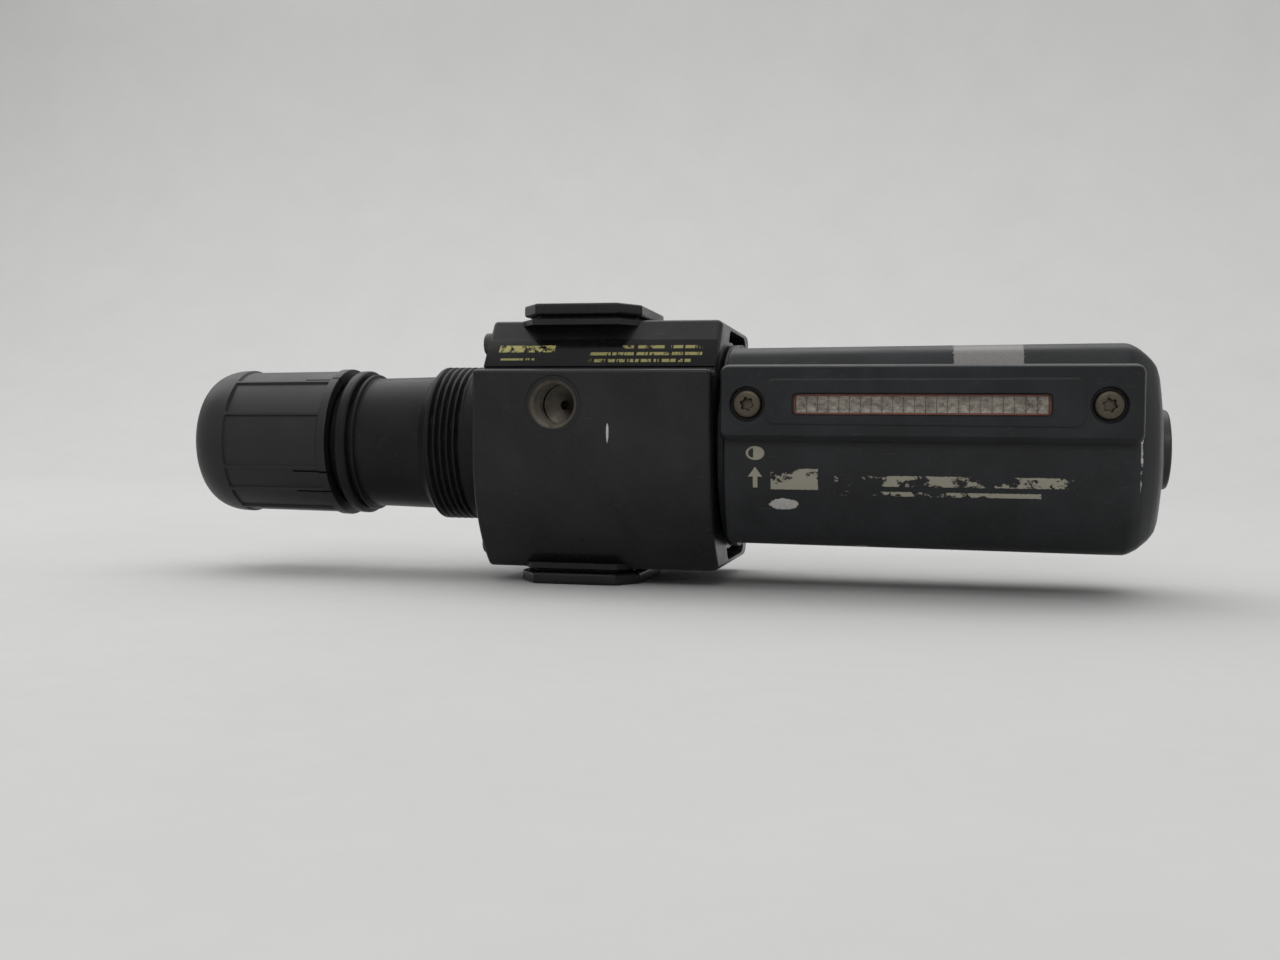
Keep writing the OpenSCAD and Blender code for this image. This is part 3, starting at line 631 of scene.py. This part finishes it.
def body_corners():
    arc = []
    for k in range(13):
        a = math.radians(180 + 45 * k / 12)
        arc.append((FRONT + ARC_R + ARC_R * math.cos(a), ARC_R * math.sin(a)))
    low_y = FRONT + ARC_R - math.sqrt(ARC_R**2 - HALF**2)
    return [
        (BACK, HALF, 4), (TOP_FRONT, HALF, 1.6), (FOOT, LEDGE, 0.8), (FRONT, LEDGE, 1.1),
        *arc, (low_y, -HALF, 3), (BACK, -HALF, 4),
    ]


def octagon(x, y, cx, cy, r=0.5):
    return [
        (-x, -y + cy, r), (-x + cx, -y, r), (x - cx, -y, r), (x, -y + cy, r),
        (x, y - cy, r), (x - cx, y, r), (-x + cx, y, r), (-x, y - cy, r),
    ]


def port_flange(name, side):
    """A port flange on a waisted neck that flares into the body. side is 1 on top and -1 below."""
    stations = [
        (0, 0.7), (0.12, 0.33), (0.36, 0.1), (0.75, 0), (2.5, 0), (2.9, 0.1), (3.15, 0.33), (3.3, 0.7),
        (3.55, 1.7), (3.7, 2.0), (3.85, 2.05), (4.0, 1.7), (4.3, 0.2), (4.6, -0.9), (6.2, -1.0),
    ]
    return slab(
        name, octagon(17.5, 24, 5.5, 8), [(side * (PORT - t), d) for t, d in stations], black, "z"
    )


def thread(depth, minor, major, pitch, clear=1.0, face=0.6):
    """The profile of a tapped hole for turned(), from the open end inwards, with a chamfer at its mouth."""
    profile = [(-clear, major + face), (0, major + face), (face, major)]
    t = face
    while t + pitch < depth - 1.5:
        profile += [(t + 0.12 * pitch, major), (t + 0.5 * pitch, minor)]
        profile += [(t + 0.62 * pitch, minor), (t + pitch, major)]
        t += pitch
    return profile + [(t + 0.3, minor), (depth, minor), (depth + minor * 0.3, 0.4)]


body = slab("body_casting", body_corners(), rounded(BODY_L, BODY_R, 1.2, 1.8), black)
for side, end in ((1, "upper"), (-1, "lower")):
    boolean(body, port_flange(f"{end}_flange", side), "UNION")
cavity = [
    (FLANGE_IN - 0.2, 25.1), (FLANGE_IN + 0.8, 25.1), (FLANGE_IN + 0.8, 21), (-13, 21), (-13, 19), (-10, 19),
    (-10, 9.05), (14, 9.05), (14, 24.3), (28.6, 24.3), (28.6, 27.8), (33.4, 27.8), (33.4, 25.3),
    (BODY_R + 1, 25.3),
]
cutters = [turned("cavity", (0, 0, 0), (1, 0, 0), cavity, bare_casting, 96)]
flange_hole = [(-19.65, 33.15, 4), (-19.65, -33.15, 4), (36.15, -33.15, 4), (36.15, 33.15, 4)]
cutters.append(slab("flange_pocket", flange_hole, [(BODY_L - 1, 0), (FLANGE_IN, 0)], black))
profile = [(BODY_L - 1, 26.65), (FLANGE_IN, 26.65)]
cutters.append(turned("flange_round", (0, 0, 0), (1, 0, 0), profile, black, 96))
for y, h in BONNET_SCREWS:
    profile = [(BODY_L - 1, 2.05), (-10, 2.05)]
    cutters.append(turned("screw_hole", (0, y, h), (1, 0, 0), profile, bare_casting, 24))
for k in range(3):
    sector = [(r * math.cos(math.radians(a)), r * math.sin(math.radians(a))) for r, a in
              [(20, 120 * k + 31)] + [(27.7, 120 * k + 31 + 3.5 * i) for i in range(9)] + [(20, 120 * k + 59)]]
    cutters.append(slab("bayonet_slot", sector, [(32.4, 0), (BODY_R + 1, 0)], bare_casting))
for side in (1, -1):
    port = [(0, 0, side * PORT), (0, 0, -side)]
    cutters.append(turned("main_port", *port, thread(13, 7.45, 8.4, 1.34), bare_casting, 64))
    cutters.append(turned("passage", *port, [(10, 6.5), (PORT - 12.5, 6.5)], bare_casting, 48))
    x_to = 16 if side > 0 else -11
    profile = [(0, 5.5), (abs(x_to), 5.5)]
    cutters.append(turned("cross_passage", (0, 0, side * 18), (side, 0, 0), profile, bare_casting, 40))
for side, face in ((-1, FRONT), (1, BACK)):
    port = [(GAUGE_X, face, GAUGE_UP), (0, -side, 0)]
    # The gauge port's threads and mouth take the metal painted dark as shade in the hole.
    cutters.append(turned("gauge_port", *port, thread(12, GAUGE_R, 6.62, 1.34, 1, 0.55), port_shade_metal, 72))
    if side < 0:
        cutters.append(turned("spot_face", *port, [(-1, 8.9), (0.28, 7.75)], black, 72))
    cutters.append(turned("bleed", *port, [(10, 1.4), (24, 1.4)], bare_casting, 24))
for cutter in cutters:
    boolean(body, cutter)
POCKET_R = 30.2
for side in (1, -1):
    hole = [(-5, 8, 5), (32, 8, 5), (32, HALF - 1.8, 5), (-5, HALF - 1.8, 5)]
    hole = [(y, side * h, r) for y, h, r in hole]
    pocket = slab("pocket", hole, [(BODY_R - 9, 0.3), (BODY_R + 0.2, 0), (BODY_R + 1, -0.3)], black)
    core = [(BODY_R - 12, POCKET_R), (BODY_R + 3, POCKET_R)]
    boolean(pocket, turned("pocket_core", (0, 0, 0), (1, 0, 0), core, black, 96))
    boolean(body, pocket)
smooth(body, 30)
even(body)
put(body, "housing", "body_paint", "body")

slope = Vector((TOP_FRONT - FOOT, HALF - LEDGE)).normalized()
outward = Vector((-slope.y, slope.x))
low = Vector((FOOT, LEDGE)) + slope * 1.2 + outward * 0.02
corners = [low, low + slope * 9.8, low + slope * 9.8 + outward * 0.5, low + outward * 0.5]
corners = [(p.x, p.y, r) for p, r in zip(corners, (0.05, 0.05, 0.22, 0.22))]
(LABEL_L, LABEL_R), _, _ = spans("label_plate")
plate = slab("label_panel", corners, rounded(LABEL_L, LABEL_R, 0.12, 0.12, 3), label_black)
put(plate, "housing", "label_gloss", "label_plate")

# ---------- bonnet ----------

THREAD_R, CORE, PITCH = 23.1, 1.1, 2.0
THREAD_X = (-45, -35)


def thread_shape(x, r, angle):
    """A single-start thread on the crest radius, with a land beside the collar and a faded start."""
    if not THREAD_X[0] - 0.9 < x < THREAD_X[1] + 0.9 or r < THREAD_R - 1.2:
        return r
    phase = ((x - THREAD_X[1]) / PITCH + angle / 360) % 1
    groove = max(0, 1 - abs(phase - 0.5) / 0.36)
    fade = min(1, max(0, (THREAD_X[1] + 0.9 - x) / 1.2)) * min(1, max(0, (x - THREAD_X[0] + 0.9) / 0.9))
    return r - CORE * fade * min(groove, 0.92)


outer = [(BODY_L + 0.1, THREAD_R), (THREAD_X[1] + 1, THREAD_R)]
outer += [(THREAD_X[1] + 0.9 - 0.14 * k, THREAD_R) for k in range(85)]
outer += [
    (-46.2, THREAD_R - 0.15), (-48.6, 20.4), (-48.9, 20.2), (-68.7, 19.7), (-69, 20.0), (-69.1, 20.6),
    (-69.4, 20.9), (-69.9, 20.9), (-70.2, 20.6), (-70.3, 19.9), (-71.2, 19.9), (-71.25, 21.2),
    (-71.45, 21.7), (-71.9, 22), (-72.7, 22), (-73.9, 21.95), (-74.6, 21.6), (-75, 21), (-75.1, 20.4),
    (-75.1, 18.6), (-77.4, 18.6), (-77.6, 18.4), (-77.6, 14), (SPIGOT_END + 0.5, 14), (SPIGOT_END, 13.5),
]
inner = [(SPIGOT_END, 5.06), (-63, 5.06), (-63, 17.2), (BODY_L + 0.1, 17.2)]
bonnet = revolve("bonnet_shell", outer + inner, bonnet_black, 144, thread_shape)
slot = [(-18.7, -2.2), (18.7, -2.2), (18.7, 2.2), (-18.7, 2.2)]
boolean(bonnet, slab("keyway", slot, [(-60, 0), (-30, 0)], bonnet_black))
flange = [(-19.5, 33, 4), (-19.5, -33, 4), (36, -33, 4), (36, 33, 4)]
flange = slab("bonnet_flange", flange, rounded(BODY_L, FLANGE_IN, 0.5, 0.1, 3), bonnet_black)
profile = [(BODY_L, 26), (BODY_L + 0.5, 26.5), (FLANGE_IN, 26.5)]
disc = turned("flange_disc", (0, 0, 0), (1, 0, 0), profile, bonnet_black, 144)
boolean(flange, disc, "UNION")
profile = [(BODY_L - 1, 17.2), (FLANGE_IN + 1, 17.2)]
boolean(flange, turned("flange_bore", (0, 0, 0), (1, 0, 0), profile, bonnet_black, 144))
profile = [(BODY_L - 1, 2.3), (FLANGE_IN + 1, 2.3)]
for y, h in BONNET_SCREWS:
    boolean(flange, turned("clear_hole", (0, y, h), (1, 0, 0), profile, bonnet_black, 24))
TEETH = 24


def tooth_ring(name, corners, stations, material, phase=0.0):
    """Equal teeth round the main axis, from the corners of the first one."""
    ring = []
    for k in range(TEETH):
        a = math.radians(360 / TEETH * (k + phase))
        tooth = slab(name, corners, stations, material)
        to_axis = Matrix.Translation((0, 0, AXIS * MM))
        from_axis = Matrix.Translation((0, 0, -AXIS * MM))
        tooth.data.transform(to_axis @ Matrix.Rotation(a, 4, "X") @ from_axis)
        ring.append(tooth)
    return ring


box = [(13.2, -0.8, 0.2), (17.6, -0.8, 0.25), (17.6, 0.8, 0.25), (13.2, 0.8, 0.2)]
teeth = tooth_ring("tooth", box, rounded(-79.6, -75, 0.3, 0.05, 2), bonnet_black)
join(bonnet, [flange, *teeth])
even(bonnet)
put(bonnet, "housing", "bonnet_black", "bonnet")


def socket_screw(
    name, origin, direction, head_r, head_h, shank_r, shank, socket, socket_depth, lobes, material, crown=0.6,
):
    """A round-headed screw with a recessed drive. direction points out of the head."""
    head = [(-shank, shank_r - 0.4), (-shank + 0.4, shank_r), (0, shank_r), (0, head_r)]
    head += [(head_h - crown * (1 - math.sin(a)), head_r - crown * (1 - math.cos(a)))
             for a in (math.radians(18 * k) for k in range(6))]
    screw = turned(name, origin, direction, head, material, 48)

    def drive(t, r, a):
        if lobes:
            return r * (1 + 0.16 * math.cos(lobes * a))
        step = math.pi / 3
        return r * math.cos(step / 2) / math.cos((a % step) - step / 2) * 1.08

    hole = [(head_h - socket_depth, socket * 0.9), (head_h - 0.25, socket)]
    hole += [(head_h, socket * 1.12), (head_h + 1, socket * 1.3)]
    boolean(screw, turned("drive", origin, direction, hole, material, 48, drive))
    smooth(screw)
    return screw


screws = [
    socket_screw("bonnet_screw", (BODY_L, y, h), (-1, 0, 0), 3.25, 2.8, 2, 16, 1.7, 1.9, 0, dark_steel)
    for y, h in BONNET_SCREWS
]
join(screws[0], screws[1:])
screws[0].name = "bonnet_socket_screws"
put(screws[0], "housing", "dark_steel", "bonnet_screws")

def hexagon(t, r, a):
    return r * math.cos(math.pi / 6) / math.cos((a % (math.pi / 3)) - math.pi / 6)


place = [(GAUGE_X, BACK, GAUGE_UP), (0, 1, 0)]
profile = [(-9, 5), (-8.5, 5.68), (0, 5.68), (0, 7.6), (1.5, 7.6), (1.85, 7.4), (2, 7.1)]
plug = turned("rear_gauge_plug", *place, profile, dark_steel, 64)
profile = [(-5, 3.4), (1.7, 3.46), (2.0, 3.8), (3, 4)]
boolean(plug, turned("plug_hex", *place, profile, dark_steel, 48, hexagon))
smooth(plug)
put(plug, "housing", "bright_steel", "gauge_plug")

# ---------- knob ----------

GRIP = (-111, -80)
GRIP_DEPTH = 0.62
PANELS = [-68, -41.8, -20.9, 21.7, 54.7]
SLOTS = [-41.8, -24, 59]
SLOT_X = (-88.6, KNOB_OPEN)


def turn_to(angle):
    """An angle folded so that the back half repeats the front half."""
    a = (angle + 180) % 360 - 180
    return a if -90 <= a <= 90 else (a - 180 if a > 0 else a + 180)


def knob_shape(x, r, angle):
    if r < 20:
        return r
    a = turn_to(angle)
    for s in SLOTS:
        if abs(a - s) < 0.72 and SLOT_X[0] < x and r > 21:
            return r - 1.3
    band = min(1, max(0, (x - GRIP[0]) / 0.5)) * min(1, max(0, (GRIP[1] - x) / 0.5))
    if band <= 0:
        return r
    rib = min(abs(a - p) for p in PANELS)
    recess = GRIP_DEPTH * min(1, max(0, (rib - 0.9) / 0.8))
    if PANELS[3] < a < PANELS[4]:
        t = (a - PANELS[3]) / (PANELS[4] - PANELS[3])
        recess *= 1 + 0.5 * math.sin(math.pi * t)
    return r - band * recess


SHOULDER_R = KNOB_R - 0.45
taper = 0.45 / (KNOB_OPEN + 112.5)
skin = [(KNOB_OPEN, KNOB_R - 0.35), (KNOB_OPEN - 0.12, KNOB_R - 0.1), (KNOB_OPEN - 0.4, KNOB_R)]
for x in (-79.5, -80, -80.25, -80.5, -84, -88.55, -88.65, -92, -96, -100, -104, -108, -110.5, -110.75, -111,
    -112.5):
    skin.append((x, KNOB_R - taper * (KNOB_OPEN - x)))
ROUND = -112.5 - KNOB_END
for k in range(1, 11):
    a = math.radians(9 * k)
    skin.append((-112.5 - ROUND * math.sin(a), SHOULDER_R - 0.62 * ROUND * (1 - math.cos(a))))
skin[-1] = (KNOB_END, 15.3)
inside = [
    (KNOB_END + 0.3, 14.75), (KNOB_END + 0.6, 14.6), (-121.7, 14.55), (-121.7, 13.5), (-114, 13.5),
    (-114, 5.0), (-100, 5.0),
    (-100, 8.2), (-100.3, 8.5), (-110, 8.5), (-110, 19.2), (KNOB_OPEN - 0.3, 19.2), (KNOB_OPEN, 19.5),
]
base = [3 * j for j in range(120)]
extra = []
for half in (0, 180):
    for p in PANELS:
        extra += [p + half + d for d in (-1.7, -0.9, 0.9, 1.7)]
    for s in SLOTS:
        extra += [s + half + d for d in (-0.8, -0.7, 0.7, 0.8)]
extra = [round(a % 360, 3) for a in extra]
angles = sorted(set([a for a in base if min(abs((a - e + 180) % 360 - 180) for e in extra) > 0.6] + extra))
knob = revolve("grip_knob", skin + inside, knob_black, shape=knob_shape, angles=angles, sharp=28)
box = [(14.75, -0.8, 0.15), (19.6, -0.8, 0.15), (19.6, 0.8, 0.15), (14.75, 0.8, 0.15)]
stations = [(-82.7, 0.2), (-82.5, 0), (-80.2, 0), (-80, 0.2)]
join(knob, tooth_ring("knob_tooth", box, stations, knob_black, 0.5))
even(knob)
put(knob, "knob", "knob_plastic", "knob")

(DISC_L, DISC_R), _, _ = spans("knob_end_disc")
cap = turned("knob_cap", (0, 0, 0), (1, 0, 0), [
    (DISC_R, 14.3), (DISC_L + 0.6, 14.45), (DISC_L + 0.2, 14.3), (DISC_L, 13.9), (DISC_L, 12.6),
    (DISC_L + 0.25, 12.4), (DISC_L + 0.25, 4), (DISC_L + 0.3, 0.5),
], disc_black, 96)
put(cap, "knob", "knob_plastic", "knob_end_disc")

# ---------- bowl ----------

CORNER_R, DEPTH, BOWL_HALF = 16, 34, 27.7
BULGES = [(9, 43), (-13, 43)]
END_SCALE = [
    (44, 1), (148.6, 1), (149.6, 0.992), (150.5, 0.978), (152, 0.95), (153.5, 0.91), (155, 0.865),
    (156.4, 0.81),
    (157.6, 0.71), (158.6, 0.56), (159.3, 0.45), (BOWL_END, 0.398),
]


def ray_circle(cy, radius, angle):
    """Distance from the main axis to a circle centred at depth cy, in the direction of an angle."""
    a = math.radians(angle)
    b = -cy * math.cos(a)
    return b + math.sqrt(b * b - cy * cy + radius * radius)


def ray_box(half_y, half_h, radius, angle):
    """Distance from the main axis to a rounded rectangle."""
    a = math.radians(angle)
    cy, ch = abs(math.cos(a)), abs(math.sin(a))
    t = min(half_y / max(cy, 1e-6), half_h / max(ch, 1e-6))
    my, mh = half_y - radius, half_h - radius
    if t * cy > my and t * ch > mh:
        b = my * cy + mh * ch
        t = b + math.sqrt(max(0, b * b - my * my - mh * mh + radius * radius))
    return t


def soft_min(values, k):
    low = min(values)
    return low - k * math.log(sum(math.exp((low - v) / k) for v in values))


def bowl_radius(x, angle):
    """Outer radius of the bowl. Its height grows slightly towards the drain."""
    flare = BOWL_HALF - 0.4 + 0.8 * min(1, max(0, (x - 48) / 95))
    section = [ray_box(DEPTH, flare, CORNER_R, angle)] + [ray_circle(c, r, angle) for c, r in BULGES]
    return soft_min(section, 0.12)


def end_scale(x):
    for (x0, f0), (x1, f1) in zip(END_SCALE, END_SCALE[1:]):
        if x <= x1:
            return f0 + (f1 - f0) * (x - x0) / (x1 - x0)
    return END_SCALE[-1][1]


rings = []
bowl_angles = [2 * j for j in range(180)]
stations = [43.75, 43.8, 43.95, 44.2,
    44.6] + [46 + 4 * k for k in range(21)] + [128 + 1.6 * k for k in range(9)]
stations += [142 + 0.5 * k for k in range(36)]
stations = [x for x in stations if x < BOWL_END] + [BOWL_END]
for x in stations:
    start = 1.2 * (1 - math.sqrt(max(0, 1 - (1 - min(1, (x - 43.75) / 0.85)) ** 2)))
    ring = []
    for a in bowl_angles:
        r = max(bowl_radius(x, a) * end_scale(x), 11) - start
        ring.append((x, -r * math.cos(math.radians(a)), r * math.sin(math.radians(a))))
    rings.append(ring)
bowl = sections("bowl_shell", rings, bowl_black, 40)
collar = [(23, 23.6), (23.4, 24), (29, 24), (29, 25), (41.5, 25), (41.5, 29.1), (41.8, 29.4), (44.5, 29.4)]
boolean(bowl, turned("bowl_collar", (0, 0, 0), (1, 0, 0), collar, bowl_black, 144), "UNION")


def cover_corners(r):
    """Corners of the sight glass cover, which its pad on the bowl shares."""
    return [
        (BEZEL_L, BEZEL_LOW, r), (BEZEL_R, BEZEL_LOW, r), (BEZEL_R, BEZEL_HIGH, r), (BEZEL_L, BEZEL_HIGH, r),
    ]


pad = slab("cover_pad", cover_corners(2.5), [(PAD_FRONT, 0), (-18, 0)], cover_black, "y")
boolean(bowl, pad, "UNION")
hollow = [
    (22, 21), (46.8, 21), (46.8, 24.8), (141, 24.8), (148.6, 15), (150.6, 15), (150.6, 8.05),
    (BOWL_END + 1, 8.05),
]
boolean(bowl, turned("bowl_bore", (0, 0, 0), (1, 0, 0), hollow, bowl_black, 120))
boolean(bowl, revolve("seal_groove", [(24.6, 26), (26.6, 26), (26.6, 22.5), (24.6, 22.5)], bowl_black, 96))


def window(grow, r):
    """Corners of the window, grown on all sides."""
    left, right = WINDOW_L + 1.7 - grow, WINDOW_R - 1.7 + grow
    low, high = WINDOW_UP - WINDOW_HALF - grow, WINDOW_UP + WINDOW_HALF + grow
    return [(left, low, r), (right, low, r), (right, high, r), (left, high, r)]


boolean(bowl, slab("window_step", window(2, 2), [(PAD_FRONT - 1, 0), (-28.4, 0)], bowl_black, "y"))
boolean(bowl, slab("window_hole", window(-1, 1), [(-30, 0), (-15, 0)], bowl_black, "y"))
SCREW_X = [SCREW_L + 3.85, SCREW_R - 3.85]
for x in SCREW_X:
    place = [(x, -27, WINDOW_UP), (0, -1, 0)]
    boolean(bowl, turned("cover_screw_hole", *place, [(0, 2.05), (10, 2.05)], bowl_black, 24))
lugs = []
for k in range(3):
    lug = [(r * math.cos(math.radians(a)), r * math.sin(math.radians(a))) for r, a in
           [(23.8, 120 * k - 11)] + [(27.3, 120 * k - 11 + 2.75 * i) for i in range(9)] + [(23.8, 120 * k + 11)]]
    lugs.append(slab("bowl_lug", lug, [(29, 0.3), (29.3, 0), (32.7, 0), (33, 0.3)], bowl_black))
join(bowl, lugs)
smooth(bowl, 34)
even(bowl)
put(bowl, "bowl", "bowl_paint", "bowl")

# Sight glass cover: bevelled all round, widest along the bottom, with a raised panel round the window
def cover_ring(y, d, low_bevel):
    ring = outline(cover_corners(2.4), d)
    middle = (BEZEL_LOW + BEZEL_HIGH) / 2
    reach = middle - BEZEL_LOW
    return [(u, y, h + low_bevel * max(0, (middle - h) / reach) ** 6) for u, h in ring]


cover = sections("cover_frame", [
    cover_ring(PAD_FRONT, 0, 0), cover_ring(BEZEL_FRONT + 2.0, 0, 0),
    cover_ring(BEZEL_FRONT + 1.75, 0.05, 0.12),
    cover_ring(BEZEL_FRONT + 0.85, 0.35, 0.9), cover_ring(BEZEL_FRONT + 0.5, 0.65, 1.1),
    cover_ring(BEZEL_FRONT + 0.35, 1.0, 1.2),
], cover_black, 24)
panel = [
    (SCREW_X[0] + 4.7, BEZEL_LOW + 4.4, 2.6), (SCREW_X[1] - 5.6, BEZEL_LOW + 4.0, 2.6),
    (SCREW_X[1] - 5.6, BEZEL_HIGH - 3.6, 2.6), (SCREW_X[0] + 4.7, BEZEL_HIGH - 3.8, 2.6),
]
stations = [(BEZEL_FRONT + 1, 0), (BEZEL_FRONT + 0.35, 0), (BEZEL_FRONT + 0.1, 0.3), (BEZEL_FRONT, 0.75)]
panel = slab("cover_panel", panel, stations, cover_black, "y", 24)
boolean(cover, panel, "UNION")
stations = [(BEZEL_FRONT - 1, -1.2), (BEZEL_FRONT + 0.55, 0), (PAD_FRONT + 1, 0)]
boolean(cover, slab("window_mouth", window(0, 1), stations, cover_black, "y"))
boolean(cover, slab("window_back", window(2, 2), [(PAD_FRONT - 2, 0), (PAD_FRONT + 1, 0)], cover_black, "y"))
for x in SCREW_X:
    place = [(x, BEZEL_FRONT, WINDOW_UP), (0, 1, 0)]
    profile = [(-1, 5.1), (0.35, 4.8), (0.75, 4.5), (2.6, 4.5), (2.6, 2.3), (5, 2.3)]
    boolean(cover, turned("cover_bore", *place, profile, cover_black, 64))
smooth(cover, 24)
even(cover)
put(cover, "bowl", "bowl_paint", "bezel")

pair = []
for x in SCREW_X:
    place = [(x, BEZEL_FRONT + 2.6, WINDOW_UP), (0, -1, 0)]
    pair.append(socket_screw("cover_screw", *place, 3.85, 2.3, 2, 7, 1.5, 1.4, 6, warm_steel, 1.1))
join(pair[0], pair[1:])
pair[0].name = "cover_screws"
put(pair[0], "bowl", "dark_steel", "bezel_screws")

# ---------- sight glass ----------

LENS_FRONT, LENS_BACK = spans("sight_lens")[1][0], -30.6
stations = [(LENS_FRONT, 0.3), (LENS_FRONT + 0.25, 0), (LENS_BACK, 0)]
glass = slab("sight_glass_plate", window(1.6, 1.7), stations, lens_clear, "y")
prisms = []
cells, tall, margin = 23, 4.3, 0.7
left, right = WINDOW_L + 1.7 + margin, WINDOW_R - 1.7 - margin
pitch = (right - left) / cells
for k in range(cells):
    x = left + pitch * (k + 0.5)
    low, high = x - pitch / 2 + 0.06, x + pitch / 2 - 0.06
    base_ring = [(low, -tall / 2), (high, -tall / 2), (high, tall / 2), (low, tall / 2)]
    points = [(u, LENS_FRONT - 0.95, WINDOW_UP + v) for u, v in base_ring]
    points += [(x, LENS_FRONT - 0.02, WINDOW_UP)]
    points += [(u, LENS_FRONT + 0.3, WINDOW_UP + v) for u, v in base_ring]
    faces = [(0, 1, 4), (1, 2, 4), (2, 3, 4), (3, 0, 4)]
    faces += [(5, 8, 7, 6), (0, 5, 6, 1), (1, 6, 7, 2), (2, 7, 8, 3), (3, 8, 5, 0)]
    prisms.append(build("prism", points, faces, lens_clear, 5))
join(glass, prisms)
smooth(glass, 5)
glass.name = "sight_glass"
put(glass, "bowl", "lens_clear", "sight_lens")

# ---------- springs and drain ----------

spring = helix("main_coil", -53.9, -25.3, 11.6, 1.7, 6, bright_steel)
put(spring, "housing", "bright_steel", "main_spring")
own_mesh(spring)
small = helix("valve_coil", -0.6, 6.9, 5.1, 0.45, 6, bright_steel, 10, 36)
put(small, "housing", "bright_steel", "valve_spring")
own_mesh(small)

(NUT_L, NUT_R), _, _ = spans("drain_nut")
ring_nut = revolve("drain_ring_nut", [
    (NUT_L, 8.6), (NUT_L, 10.6), (NUT_L + 0.4, 11), (NUT_R - 0.5, 11), (NUT_R - 0.1, 10.7),
    (NUT_R, 10.2), (NUT_R, 8.6), (NUT_R - 0.3, 8.3), (NUT_L + 0.3, 8.3),
], nut_black, 96)
put(ring_nut, "bowl", "nut_black", "drain_nut")

# ---------- diaphragm ----------

# The centre moves with its plate and the rim stays clamped. They meet in a fold beyond the plate's edge.
(SHEET_L, SHEET_R), _, _ = spans("diaphragm")
PLATE_R = (spans("diaphragm_plate")[2][1] - spans("diaphragm_plate")[2][0]) / 2
FOLD_R = PLATE_R + 0.5
centre = revolve("diaphragm_centre", [
    (SHEET_L, 4), (SHEET_L, FOLD_R - 0.3), (SHEET_L + 0.2, FOLD_R), (SHEET_R - 0.2, FOLD_R),
    (SHEET_R, FOLD_R - 0.3),
    (SHEET_R, 4),
], rubber, 96)
put(centre, "diaphragm_stack", "rubber", "diaphragm")
rim = revolve("diaphragm_rim", [
    (SHEET_L, FOLD_R + 0.5), (SHEET_L, 24.6), (SHEET_L + 0.2, 24.9), (SHEET_R - 0.2, 24.9), (SHEET_R, 24.6),
    (SHEET_R, FOLD_R + 1.6), (SHEET_R + 0.9, FOLD_R + 1.1), (SHEET_R + 0.9, FOLD_R + 0.4),
    (SHEET_R, FOLD_R + 0.2),
], rubber, 96)
put(rim, "housing", "rubber", "diaphragm")

# ---------- CAD nodes that stay ----------

FINISH = {
    bright_steel: ["adjusting_screw", "diaphragm_plate", "valve_pin", "filter_rod", "aspirator_baffle"],
    dark_steel: ["retaining_ring"],
    brass: ["thrust_washer", "spring_nut", "relief_seat", "valve_seat", "valve_stem", "drain_body"],
    rubber: ["valve_seat_o_ring", "valve_disc", "bowl_o_ring", "lens_seal", "drain_o_ring"],
    white_plastic: ["valve_guide", "deflector", "element_retainer", "float_cage"],
    filter_white: ["filter_element"],
    float_plastic: ["float"],
    gasket_red: ["lens_gasket"],
}
for material, names in FINISH.items():
    for name in names:
        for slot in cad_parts[name].material_slots:
            slot.material = material

# ---------- floor, light and camera ----------

look = Look("floor_paper")
look.colour(look.mix(look.noise(60, 3), (0.50, 0.50, 0.495), (0.54, 0.54, 0.535)))
look.rough(look.ramp(look.noise(8, 4), 0.3, 0.7, 0.75, 0.9))
look.bump(look.noise(0.5, 2), 0.01)
sweep = [(-1500, 0)]
for k in range(13):
    a = math.radians(90 * k / 12)
    sweep.append((700 + 600 * math.sin(a), 600 - 600 * math.cos(a)))
sweep.append((1300, 2200))
points = []
for depth, height in sweep:
    for x in (-2600, 2600):
        points.append((x, depth, height - AXIS - 0.05))
faces = [(2 * i, 2 * i + 1, 2 * i + 3, 2 * i + 2) for i in range(len(sweep) - 1)]
floor = build("floor_sweep", points, faces, look.material, 60)


def area_light(name, place, aim, size, power, tint=(1, 1, 1)):
    light = bpy.data.lights.new(name, "AREA")
    light.shape, light.energy, light.color = "RECTANGLE", power, tint
    light.size, light.size_y = size
    obj = bpy.data.objects.new(name, light)
    obj.location = [c * MM for c in place]
    obj.rotation_euler = (Vector(aim) - Vector(place)).to_track_quat("-Z", "Y").to_euler()
    bpy.context.scene.collection.objects.link(obj)
    return obj


area_light("key", (-250, 750, 1250), (0, 0, 0), (3.0, 1.6), 17)
area_light("top_fill", (-200, 0, 1900), (0, 0, 0), (3.0, 2.4), 12)
area_light("front_high", (100, -1500, 1050), (0, 0, 40), (0.9, 0.35), 4)

world = bpy.data.worlds.new("studio")
world.use_nodes = True
world.node_tree.nodes["Background"].inputs[0].default_value = (1, 1, 1, 1)
world.node_tree.nodes["Background"].inputs[1].default_value = 0.64
bpy.context.scene.world = world
bpy.context.scene.view_settings.view_transform = "Standard"

YAW, PITCH_DOWN, ROLL = map(math.radians, (12, 1.6, 0.55))
aim = Vector((-math.sin(YAW), math.cos(YAW), -math.tan(PITCH_DOWN))).normalized()
right = aim.cross(Vector((0, 0, 1))).normalized()
up = right.cross(aim)
right, up = right * math.cos(ROLL) + up * math.sin(ROLL), up * math.cos(ROLL) - right * math.sin(ROLL)
camera = bpy.data.objects.new("camera", bpy.data.cameras.new("camera"))
camera.data.sensor_width, camera.data.lens = 36, 36 * 1340 / 1280
camera.data.clip_start = 0.01
turn = Matrix((right, up, -aim)).transposed().to_4x4()
camera.matrix_world = Matrix.Translation((97.3 * MM, -392.4 * MM, (AXIS + 0.6) * MM)) @ turn
bpy.context.scene.collection.objects.link(camera)
bpy.context.scene.camera = camera
